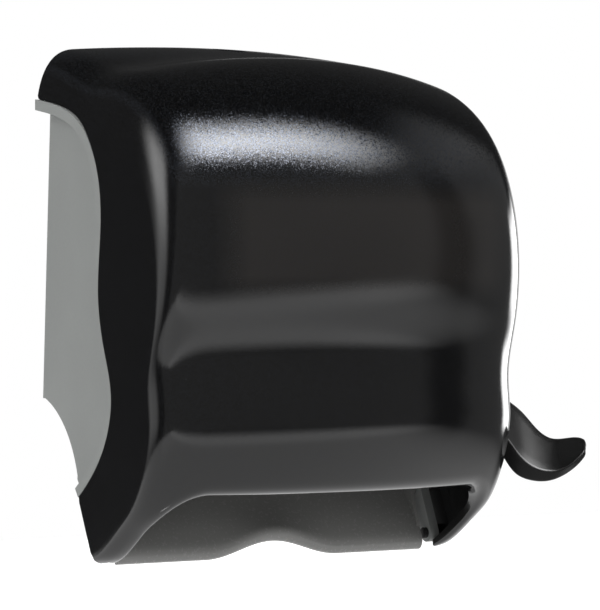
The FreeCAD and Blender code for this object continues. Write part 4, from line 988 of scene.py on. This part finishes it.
# %% Lay the chute
chute_half, chute_wall, peg_y, peg_z, ear_in = 110.6, 2.4, -67.0, 38.0, 114.0
relief = {"Half width": chute_half * mm, "Relief half": 0.048, "Relief height": 0.010}
section = [(-58.2, 48.6, 0.0), (-60.2, 43.6, 0.0), (-63.6, 38.0, 0.0), (-72.8, 25.0, 0.25),
           (-80.4, 14.0, 0.7), (-83.4, 6.0, 1.0), (-81.6, 1.6, 1.0), (-77.0, 0.4, 1.0)]
smooth_section = curve_through(section, 90)
chute = polyline("chute_plate", [(0.0, y, z + foot) for y, z, _ in smooth_section])
shares = chute.data.attributes.new("lift share", "FLOAT", "POINT")
shares.data.foreach_set("value", smooth_section[:, 2].astype(np.float32))
grow(chute, chute_tree(), relief, "chute_grey")
print("chute sheet:", len(chute.data.polygons), "faces")

# %% [markdown]
# The tree gives a sheet without a wall. Its faces are turned to the room, the wall is laid behind them,
# and the edges are rounded as a mould leaves them.

# %% Give the chute its wall
plate = bmesh.new()
plate.from_mesh(chute.data)
bmesh.ops.recalc_face_normals(plate, faces=plate.faces)
facing_wall = sum(face.normal.y * face.calc_area() for face in plate.faces)
if facing_wall > 0:
    bmesh.ops.reverse_faces(plate, faces=plate.faces)
plate.to_mesh(chute.data)
plate.free()
worked(chute, "SOLIDIFY", thickness=chute_wall * mm, offset=-1.0)
soften(chute, 0.0005)
print("chute plate:", len(chute.data.polygons), "faces")

# %% [markdown]
# The plate hangs on two round pegs. A flat gusset at either side carries each peg down to the curve of
# the plate, so its outline is a link between a large round end and a smaller one.

# %% Gussets and pegs
def link_outline(first, first_r, last, last_r, steps=24):
    """Side outline of a link between two round ends."""
    gap = math.dist(first, last)
    tilt = math.atan2(last[1] - first[1], last[0] - first[0])
    wrap = math.acos((first_r - last_r) / gap)
    ends = (first, first_r, wrap, 2 * math.pi - wrap), (last, last_r, -wrap, wrap)
    outline = []
    for centre, radius, start, stop in ends:
        for i in range(steps + 1):
            angle = tilt + start + (stop - start) * i / steps
            outline.append((centre[0] + radius * math.cos(angle), centre[1] + radius * math.sin(angle)))
    return outline


gusset_wall, gusset_low, peg_r, peg_end = 2.5, (-76.0, 17.0), 3.0, ear_in + 2.6
gusset = link_outline((peg_y, peg_z), 5.0, gusset_low, 4.0)
peg = [(chute_half - 1.0, 0.0), (chute_half - 1.0, peg_r), (ear_in + 2.2, peg_r), (peg_end, 2.6),
       (peg_end, 0.0)]
holders = []
for side in (1, -1):
    holders.append(outlined("gusset", gusset, side * (chute_half - gusset_wall), side * chute_half))
    holders.append(turned("peg", [(side * a, r) for a, r in peg], (0.0, peg_y, peg_z + foot)))
chute = joined("chute_plate_and_pegs", chute, *holders)
dress(smooth(chute, 35.0), "chassis", "chute_grey", "towel_chute")

# %% [markdown]
# ## The lever
# The lever is one moulding: a round hub on the shaft, a short arm, and a paddle that the palm pushes. The
# paddle is a thin plate with a skirt under its near edge, like a shoehorn. Ten stations give its upper
# edge, near edge and skirt. Curves run through them, and every section between is an L with rounded
# corners, so the moulding has no sharp edge.

# %% Stations of the paddle
stations = [((130.0, -86.0, 109.0), (130.0, -96.0, 87.5), (132.6, -97.0, 82.5)),
            ((134.5, -94.5, 109.0), (132.8, -107.0, 85.5), (134.6, -107.5, 78.5)),
            ((147.0, -99.0, 105.5), (138.5, -118.0, 82.5), (139.5, -117.5, 71.0)),
            ((160.0, -106.5, 98.0), (146.0, -127.0, 74.0), (144.5, -126.0, 60.5)),
            ((168.0, -115.0, 89.0), (153.0, -135.0, 60.5), (149.5, -133.0, 50.0)),
            ((173.5, -123.5, 78.5), (160.5, -142.5, 53.8), (157.5, -140.0, 45.9)),
            ((179.0, -130.0, 73.2), (168.5, -149.5, 53.0), (166.5, -147.6, 46.3)),
            ((184.5, -139.0, 73.4), (175.0, -155.5, 56.6), (174.0, -153.6, 50.6)),
            ((188.3, -148.0, 74.0), (180.3, -158.6, 61.8), (180.5, -158.3, 57.0)),
            ((189.4, -153.5, 72.0), (184.2, -159.6, 66.0), (185.0, -160.0, 62.8))]
print("stations:", len(stations))

# %% [markdown]
# A section is built from its three corners: the plate goes from the high edge to the near edge, and the
# skirt hangs under the near edge, square to the plate. Where the paddle gets narrow, so do its walls.

# %% One section of the paddle
plate_wall, most_of_side, corner_steps, side_steps = 3.0, 0.42, 5, 5


def unit(vector):
    return vector / np.linalg.norm(vector)


def paddle_section(high, near, low):
    """Corners of the L: the plate from high to near, and the skirt from near to low."""
    along = unit(high - near)
    down = unit((low - near) - along * np.dot(low - near, along))
    skirt = min(plate_wall, np.linalg.norm(high - near) * 0.4)
    thick = min(plate_wall, np.dot(low - near, down) * 0.75)
    return [high, near, low, low + along * skirt, near + along * skirt + down * thick, high + down * thick]


def rounded(corners, radius):
    """A closed line whose corners are rounded, with points along its straight sides too."""
    line, count = [], len(corners)
    for i, corner in enumerate(corners):
        before, after = corners[i - 1] - corner, corners[(i + 1) % count] - corner
        cut = min(radius[i], most_of_side * np.linalg.norm(before), most_of_side * np.linalg.norm(after))
        start, end = corner + unit(before) * cut, corner + unit(after) * cut
        for t in np.linspace(0.0, 1.0, corner_steps):
            line.append(bend_between(start, corner, end, t))
        following = corners[(i + 1) % count]
        room = np.linalg.norm(following - corner)
        reach = min(radius[(i + 1) % count], most_of_side * room,
                    most_of_side * np.linalg.norm(corners[(i + 2) % count] - following))
        stop = following + unit(corner - following) * reach
        line += [end + (stop - end) * k / side_steps for k in range(1, side_steps)]
    return np.array(line)


# %% [markdown]
# The three edges are drawn through the stations first. Then an L is set at each of 110 steps along them,
# and the last few are drawn in, so that the tip closes like a thumb.

# %% Loft the paddle
lofted, tip_shares = 110, ((1, 0.62), (2, 0.86), (3, 0.96))
corner_radius = (1.3, 1.5, 1.2, 1.2, 1.6, 1.3)
edges = []
for which in range(3):
    line = np.array([station[which] for station in stations])
    knots, controls = spline_through(line)
    marks = knots[3:-3]
    steps = np.interp(np.linspace(0, len(marks) - 1, lofted), range(len(marks)), marks)
    edges.append(spline_basis(knots, 3, steps) @ controls)
rings = [rounded(paddle_section(*corners), corner_radius) for corners in zip(*edges)]
for back, share in tip_shares:
    rings[-back] = rings[-back].mean(0) + (rings[-back] - rings[-back].mean(0)) * share
around = len(rings[0])
lever_points = np.concatenate(rings) * mm + np.array([0.0, 0.0, floor_of_part])
lever_faces = cell_faces(len(rings), around, closed=True)
last_point = len(rings) * around - 1
lever_faces += [tuple(range(around)), tuple(range(last_point, last_point - around, -1))]
paddle = merged(mesh_object("paddle", lever_points, lever_faces), 0.000001)
print("paddle:", len(rings), "sections of", around, "points")

# %% [markdown]
# The hub is turned, with a rounded rim and a seat for the screw's head. The arm is a flat link, so its
# opening for the hub is cut out before the three forms are joined.

# %% Add the hub and the arm
lever_y, lever_z = -72.0, 100.0
hub_r, hub_in, hub_out, hub_round, bore_r, seat_r = 13.0, 122.7, 133.4, 1.5, 5.0, 4.2
arm_in, arm_out, arm_end = 129.2, 133.0, (-95.0, 97.0)
axle = (0.0, lever_y, lever_z + foot)
hub = [(hub_in, bore_r), (hub_out - 4.0, bore_r), (hub_out - 4.0, 2.0), (hub_out - 2.2, 2.0),
       (hub_out - 2.2, seat_r), (hub_out, seat_r)]
for degrees in (90, 75, 60, 45, 30, 15, 0):
    angle = math.radians(degrees)
    hub.append((hub_out - hub_round * (1 - math.sin(angle)), hub_r - hub_round * (1 - math.cos(angle))))
hub += [(hub_in, hub_r), (hub_in, bore_r)]
hub = turned("hub", hub, axle, steps=72)
arm = outlined("arm", link_outline((lever_y, lever_z), 12.0, arm_end, 12.5, 36), arm_in, arm_out)
soften(arm, 0.8 * mm)
plug = turned("plug", [(125.0, 0.0), (125.0, 11.0), (136.0, 11.0), (136.0, 0.0)], axle)
worked(arm, "BOOLEAN", operation="DIFFERENCE", object=plug, solver="EXACT")
bpy.data.objects.remove(plug)
dress(smooth(joined("lever_moulding", hub, arm, paddle), 34.0), "lever", "lever_black", "lever")

# %% [markdown]
# ## Springs
# A spring is wire that follows a path. The path is a row of points: a straight leg, the turns of a helix,
# and the other leg. One tree sweeps a round wire along any such row, so both coils in the machine share
# it.

# %% The rule of bent wire
def wire_tree():
    tree, given = new_tree("bent wire", {"Wire radius": 0.0005})
    path = add_node(tree, "GeometryNodeMeshToCurve", Mesh=given["Base"]).outputs["Curve"]
    ring = add_node(tree, "GeometryNodeCurvePrimitiveCircle", Resolution=14, Radius=given["Wire radius"])
    wire = add_node(tree, "GeometryNodeCurveToMesh", Curve=path, Profile_Curve=ring.outputs["Curve"],
                    Fill_Caps=True)
    return end_tree(tree, wire.outputs["Mesh"], given)


steps_per_turn = 40


def helix(centre, axis, side, radius, pitch, turns):
    """Points of a coil about an axis, from its side onwards."""
    centre, axis, side = Vector(centre), Vector(axis), Vector(side)
    across = axis.cross(side)
    angles = np.linspace(0.0, turns * 2 * math.pi, int(turns * steps_per_turn) + 1)
    return [centre + (side * math.cos(a) + across * math.sin(a)) * radius
            + axis * (pitch * a / (2 * math.pi)) for a in angles]


bent_wire = wire_tree()


def bend_spring(name, path, wire_radius, body, node):
    """One spring: its wire is swept along the path, in millimetres."""
    spring = grow(polyline(name, path), bent_wire, {"Wire radius": wire_radius}, "spring_steel")
    return dress(smooth(merged(spring), 40.0), body, "spring_steel", node)


# %% [markdown]
# The lever's coil sits between the gear and the side wall, hooks into the gear and lifts the lever. The
# arm's coil stands on the right arm's pin and presses the arm towards the roll.

# %% Bend the two springs
coil_start, gear_face_in, catch_drop, coil_r = 113.9, 106.4, 28.3, 7.4
axle_z = lever_z + foot
coil = helix((coil_start, lever_y, axle_z), (1, 0, 0), (0, 0, -1), coil_r, 1.3, 2.5)
catch = Vector((gear_face_in + 2.0, lever_y - catch_drop, axle_z - coil_r))
bend = Vector((coil_start - 0.3, lever_y - catch_drop, axle_z - coil_r))
bend_spring("return_coil", [catch, bend] + coil + [coil[-1] + Vector((0, -14, 0))], 0.0005,
            "lever", "lever_return_spring")

arm_coil_foot = (105.6, -11.0, 215.85 + foot)
coil = helix(arm_coil_foot, (0, 0, 1), (1, 0, 0), 3.0, 1.0, 4.25)
bend_spring("arm_coil", [coil[0] + Vector((0, -13, 0))] + coil + [coil[-1] + Vector((-12, 3.5, 0))],
            0.00045, "right_arm", "arm_spring")

# %% [markdown]
# ## Screws
# Every screw is the same idea at another size: a head with a cross recess, a shank and a thread. The tree
# builds one along its own axis, then sets a copy on each base point, turned to the direction stored with
# it.

# %% The rule of a screw
def shifted(tree, mesh, height):
    """A mesh moved along the screw's axis."""
    way = add_node(tree, "ShaderNodeCombineXYZ", Z=height)
    return add_node(tree, "GeometryNodeTransform", Geometry=mesh,
                    Translation=way.outputs["Vector"]).outputs["Geometry"]


def screw_head(tree, given):
    """A cone with a cross cut into it."""
    head = add_node(tree, "GeometryNodeMeshCone", Vertices=40, Depth=given["Head height"],
                    Radius_Bottom=given["Head radius"],
                    Radius_Top=tree_product(tree, given["Head radius"], 0.84))
    deep = tree_product(tree, given["Head height"], 0.65, 2.0)
    long = tree_product(tree, given["Head radius"], 1.15)
    thin = tree_product(tree, given["Head radius"], 0.26)
    recess = add_node(tree, "GeometryNodeMeshBoolean", {"operation": "DIFFERENCE"})
    tree.links.new(head.outputs["Mesh"], recess.inputs["Mesh 1"])
    for across, along in ((long, thin), (thin, long)):
        size = add_node(tree, "ShaderNodeCombineXYZ", X=across, Y=along, Z=deep)
        slot = add_node(tree, "GeometryNodeMeshCube", Size=size.outputs["Vector"])
        tree.links.new(shifted(tree, slot.outputs["Mesh"], given["Head height"]), recess.inputs["Mesh 2"])
    return recess.outputs["Mesh"]


def screw_shank(tree, given):
    """A core and a thread wound round it."""
    core_r = tree_product(tree, given["Shank radius"], 0.84)
    core = add_node(tree, "GeometryNodeMeshCylinder", Vertices=24, Radius=core_r, Depth=given["Length"])
    cut = tree_product(tree, given["Length"], 0.88)
    line = add_node(tree, "GeometryNodeCurveSpiral", Resolution=18, Start_Radius=core_r, End_Radius=core_r,
                    Height=cut, Rotations=tree_math(tree, "DIVIDE", cut, given["Pitch"]))
    ridge = add_node(tree, "GeometryNodeCurvePrimitiveCircle", Resolution=4,
                     Radius=tree_product(tree, given["Shank radius"], 0.16))
    thread = add_node(tree, "GeometryNodeCurveToMesh", Curve=line.outputs["Curve"],
                      Profile_Curve=ridge.outputs["Curve"], Fill_Caps=True)
    return (shifted(tree, core.outputs["Mesh"], tree_product(tree, given["Length"], -0.499)),
            shifted(tree, thread.outputs["Mesh"], tree_product(tree, given["Length"], -0.97)))


def screw_tree():
    tree, given = new_tree("screw", {"Head radius": 0.003, "Head height": 0.002, "Shank radius": 0.0015,
                                     "Length": 0.01, "Pitch": 0.001})
    screw = tree.nodes.new("GeometryNodeJoinGeometry")
    for part in (screw_head(tree, given), *screw_shank(tree, given)):
        tree.links.new(part, screw.inputs["Geometry"])
    facing = add_node(tree, "GeometryNodeInputNamedAttribute", {"data_type": "FLOAT_VECTOR"}, Name="facing")
    turn = add_node(tree, "FunctionNodeAlignRotationToVector", {"axis": "Z"},
                    Vector=facing.outputs["Attribute"])
    copies = add_node(tree, "GeometryNodeInstanceOnPoints", Points=given["Base"],
                      Instance=screw.outputs["Geometry"], Rotation=turn.outputs["Rotation"])
    return end_tree(tree, copies.outputs["Instances"], given)


# %% [markdown]
# Screws are set in groups that share a size. Each seat is a point under the head and the way that the
# head faces, which the tree reads from the base point.

# %% Set the screws
screw_rule = screw_tree()


def set_screws(name, node, seats, head_r, head, shank_r, length, pitch=1.0):
    """Screws at seats, each a point under the head and the direction that the head faces."""
    base = mesh_object(name, [(x * mm, y * mm, z * mm + floor_of_part) for (x, y, z), _ in seats], [])
    facing = base.data.attributes.new("facing", "FLOAT_VECTOR", "POINT")
    facing.data.foreach_set("vector", [c for _, way in seats for c in way])
    sizes = {"Head radius": head_r * mm, "Head height": head * mm, "Shank radius": shank_r * mm,
             "Length": length * mm, "Pitch": pitch * mm}
    grow(base, screw_rule, sizes, "steel")
    return dress(smooth(merged(base, 0.000001), 35.0), body_of[node], "steel", node)


frame_in, frame_holes = 102.4, ((-60.0, 58.0), (-30.0, 112.0))
frame_seats = [((side * frame_in, y, z), (-side, 0, 0)) for side in (1, -1) for y, z in frame_holes]
keeper_seats = [((x, -4.5, 291.9), (0, -1, 0)) for x in (11.0, 19.0)]
lever_seats = [((131.2, lever_y, lever_z), (1, 0, 0))]
cam_seats = [((0.0, lock_y, 302.4), (0, 0, -1))]
set_screws("frame_screws", "side_frame_screws", frame_seats, head_r=3.0, head=2.0, shank_r=1.5,
           length=11.0)
set_screws("keeper_screws", "lock_keeper_screws", keeper_seats, head_r=2.6, head=1.6, shank_r=1.6,
           length=4.0, pitch=0.8)
set_screws("lever_end_screw", "lever_screw", lever_seats, head_r=3.6, head=1.9, shank_r=1.7, length=13.2)
set_screws("cam_screw", "lock_screw", cam_seats, head_r=4.2, head=1.6, shank_r=1.5, length=6.1)

# %% [markdown]
# ## The studio
# Three large lamps give plain soft light, each set by the direction and distance that it stands at. They
# are left out of reflections, because a glossy black shell shows what it mirrors far more than what
# lights it. What it mirrors is drawn in the world instead, as soft boxes placed by direction: a long one
# over the crown, a narrow one for each rounded edge, the pale floor and the backdrop.

# %% Lamps
aim = Vector((0.0, -0.1, -0.03))


def area_lamp(name, azimuth, elevation, distance, size, radiance):
    """A rectangular lamp at a direction and distance from the aim, as bright as its radiance."""
    lamp = bpy.data.lights.new(name, "AREA")
    lamp.shape = "RECTANGLE"
    lamp.size, lamp.size_y = size
    lamp.energy = radiance * math.pi * size[0] * size[1]
    place = in_scene(name, lamp)
    a, e = math.radians(azimuth), math.radians(elevation)
    away = Vector((math.sin(a) * math.cos(e), math.cos(a) * math.cos(e), math.sin(e)))
    place.location = aim + away * distance
    place.rotation_euler = away.to_track_quat("Z", "Y").to_euler()
    place.visible_glossy = False
    place.visible_camera = False
    print(name, "of", round(lamp.energy, 1), "W at", [round(c, 2) for c in place.location])


area_lamp("top lamp", -165.0, 60.0, 1.8, (1.4, 1.0), 2.2)
area_lamp("left lamp", -80.0, 20.0, 2.0, (1.6, 1.6), 2.4)
area_lamp("front lamp", 168.0, 12.0, 2.4, (1.6, 1.2), 1.5)

# %% [markdown]
# The floor lies below the part. It glows a little for the camera alone, so it joins the white room behind
# it without a line and adds no light of its own.

# %% Floor
floor_z, floor_half, floor_front, floor_back, glow_for_camera = -0.46, 3, -1.45, 3, 0.8
floor = mesh_object("floor", [(-floor_half, floor_front, floor_z), (floor_half, floor_front, floor_z),
                              (floor_half, floor_back, floor_z), (-floor_half, floor_back, floor_z)],
                    [(0, 1, 2, 3)])
floor.visible_glossy = False
pale, tree, shader, _ = new_material("pale floor")
seen = add_node(tree, "ShaderNodeLightPath")
fill(tree, shader, Base_Color=(0.82, 0.82, 0.82, 1.0), Roughness=0.9, Emission_Color=(1.0, 1.0, 1.0, 1.0),
     Emission_Strength=tree_product(tree, seen.outputs["Is Camera Ray"], glow_for_camera))
floor.data.materials.append(pale)
print("floor at", floor_z, "m")

# %% [markdown]
# ## A world drawn by direction
# A world shader is asked for the light that comes from one direction, so boxes can be drawn there with
# sums on that direction, without any object. The direction is split into right, back and up, and into two
# angles.

# %% Helpers for drawing the world
world = bpy.data.worlds.new("studio")
bpy.context.scene.world = world
world.use_nodes = True
sky = world.node_tree


def reckon(operation, *values):
    """A sum in the world's tree."""
    return tree_math(sky, operation, *values)


def product(*values):
    """All the values, multiplied in the world's tree."""
    return tree_product(sky, *values)


def fade(value, full, gone):
    """One up to full, then smoothly down to zero at gone."""
    node = add_node(sky, "ShaderNodeMapRange", {"interpolation_type": "SMOOTHSTEP"}, Value=value,
                    From_Min=full, From_Max=gone, To_Min=1.0, To_Max=0.0)
    return node.outputs["Result"]


heading = add_node(sky, "ShaderNodeTexCoord")
parts = add_node(sky, "ShaderNodeSeparateXYZ", Vector=heading.outputs["Generated"])
right, back, up = parts.outputs
azimuth = reckon("DEGREES", reckon("ARCTAN2", right, back))
elevation = reckon("DEGREES", reckon("ARCSINE", up))


def soft_box(at, high, half_width, half_height, soft_width, soft_height, level):
    """A lit rectangle about a direction, in degrees, with soft edges."""
    across = reckon("ABSOLUTE", reckon("WRAP", reckon("SUBTRACT", azimuth, at), 180.0, -180.0))
    along = reckon("ABSOLUTE", reckon("SUBTRACT", elevation, high))
    return product(fade(across, half_width - soft_width / 2, half_width + soft_width / 2),
                   fade(along, half_height - soft_height / 2, half_height + soft_height / 2), level)


# %% [markdown]
# The floor is left out of reflections too, because its edge would draw a hard line in the shell. It is
# drawn here as a rectangle that ends softly. Dividing a direction by its fall gives the place where a ray
# meets the floor.

# %% The floor, as it is mirrored
floor_level, card_level, card_ahead = 1.08, 0.45, 1.85


def pale_floor():
    """Lit where a mirrored ray meets the floor: a rectangle, with a brighter card near its far edge."""
    below = reckon("MINIMUM", up, -0.02)
    ahead = reckon("DIVIDE", back, below)          # in heights of the part above the floor
    aside = reckon("DIVIDE", right, product(below, -1.0))
    sides = product(fade(aside, 1.1, 3.5), fade(product(aside, -1.0), 4.2, 5.2))
    near = product(fade(ahead, 1.9, 2.9), fade(elevation, -9.0, -5.0))
    card = fade(reckon("ABSOLUTE", reckon("SUBTRACT", ahead, card_ahead)), 0.10, 0.42)
    return product(reckon("ADD", product(near, floor_level), product(card, card_level)), sides)


# %% [markdown]
# The lamp over the crown is a long strip on a plane overhead. It lies a little askew to the part, so the
# band that it leaves on the crown slants, and it fades to both ends.

# %% The lamp over the crown
strip_level, strip_ahead = 17.0, 0.65
strip_x, strip_y = 0.935, 0.355                  # the way that the strip runs, seen from above


def crown_lamp():
    """A long strip on a plane overhead: bright in the middle, fading to both ends."""
    above = reckon("MAXIMUM", up, 0.05)
    x = reckon("DIVIDE", right, above)
    y = reckon("ADD", reckon("DIVIDE", back, above), strip_ahead)
    along = reckon("SUBTRACT", product(x, strip_x), product(y, strip_y))
    across = reckon("ABSOLUTE", reckon("ADD", product(x, strip_y), product(y, strip_x)))
    ends = product(fade(along, -0.30, 1.35), fade(product(along, -1.0), 0.0, 1.5))
    return product(ends, fade(across, 0.0, 0.52), strip_level)


# %% [markdown]
# Each box has its azimuth, elevation, half width and height, the softness of its edges, and a level.
# Azimuth is counted from the wall side over the right, and 180 is straight in front. Only mirrored rays
# see the boxes. The camera sees plain white, and so do rays through glass, and all others meet an even
# grey.

# %% Put the boxes together
dark_room, grey_room, white_room = 0.04, 0.45, 1.0
boxes = [
    crown_lamp(),
    pale_floor(),
    soft_box(197.0, 9.0, 70.0, 30.0, 9.0, 16.0, 0.21),       # the room in front
    soft_box(95.0, 4.0, 17.0, 28.0, 9.0, 14.0, 0.21),        # and past a dark curtain, on the right
    soft_box(105.0, 37.0, 24.0, 10.0, 24.0, 16.0, 0.36),     # a pale wall on the right
    soft_box(-60.0, 18.0, 11.0, 10.0, 14.0, 16.0, 3.6),      # left edge lamp
    soft_box(-58.0, 0.0, 15.0, 7.0, 14.0, 14.0, 1.0),        # and its foot
    soft_box(75.0, -1.5, 11.0, 9.0, 6.0, 6.0, 8.0),          # right edge lamp
    soft_box(30.0, -6.0, 32.0, 14.0, 16.0, 8.0, 0.9),        # the backdrop
]
mirrored = dark_room
for box in boxes:
    mirrored = reckon("ADD", box, mirrored)


def choose(when, yes, no):
    """One value for one kind of ray, another for the rest."""
    node = add_node(sky, "ShaderNodeMix", {"data_type": "FLOAT"}, Factor=when, A=no, B=yes)
    return node.outputs["Result"]


ray = add_node(sky, "ShaderNodeLightPath")
level = choose(ray.outputs["Is Glossy Ray"], mirrored, grey_room)
level = choose(ray.outputs["Is Transmission Ray"], white_room, level)
level = choose(ray.outputs["Is Camera Ray"], white_room, level)
fill(sky, sky.nodes["Background"], Color=(1.0, 1.0, 1.0, 1.0), Strength=level)
print("studio:", len(boxes), "soft boxes in the world")

# %% [markdown]
# ## The camera
# A long lens stands level with the middle of the part, to its left, turned 31 degrees. From that far away
# the sides run nearly parallel, as in a catalogue.

# %% Camera and view
lens = bpy.data.cameras.new("camera")
lens.lens = 168.8
lens.sensor_fit = "VERTICAL"
lens.sensor_width = lens.sensor_height = 36.0
eye, turned_right, tipped_down = (-0.9127, -1.6320, -0.0356), 31.0, 0.05
camera = in_scene("camera", lens)
camera.location = eye
camera.rotation_euler = (math.radians(90 - tipped_down), 0.0, math.radians(-turned_right))
bpy.context.scene.camera = camera
bpy.context.scene.view_settings.view_transform = "Standard"
print("camera at", eye, "with a lens of", lens.lens, "mm")
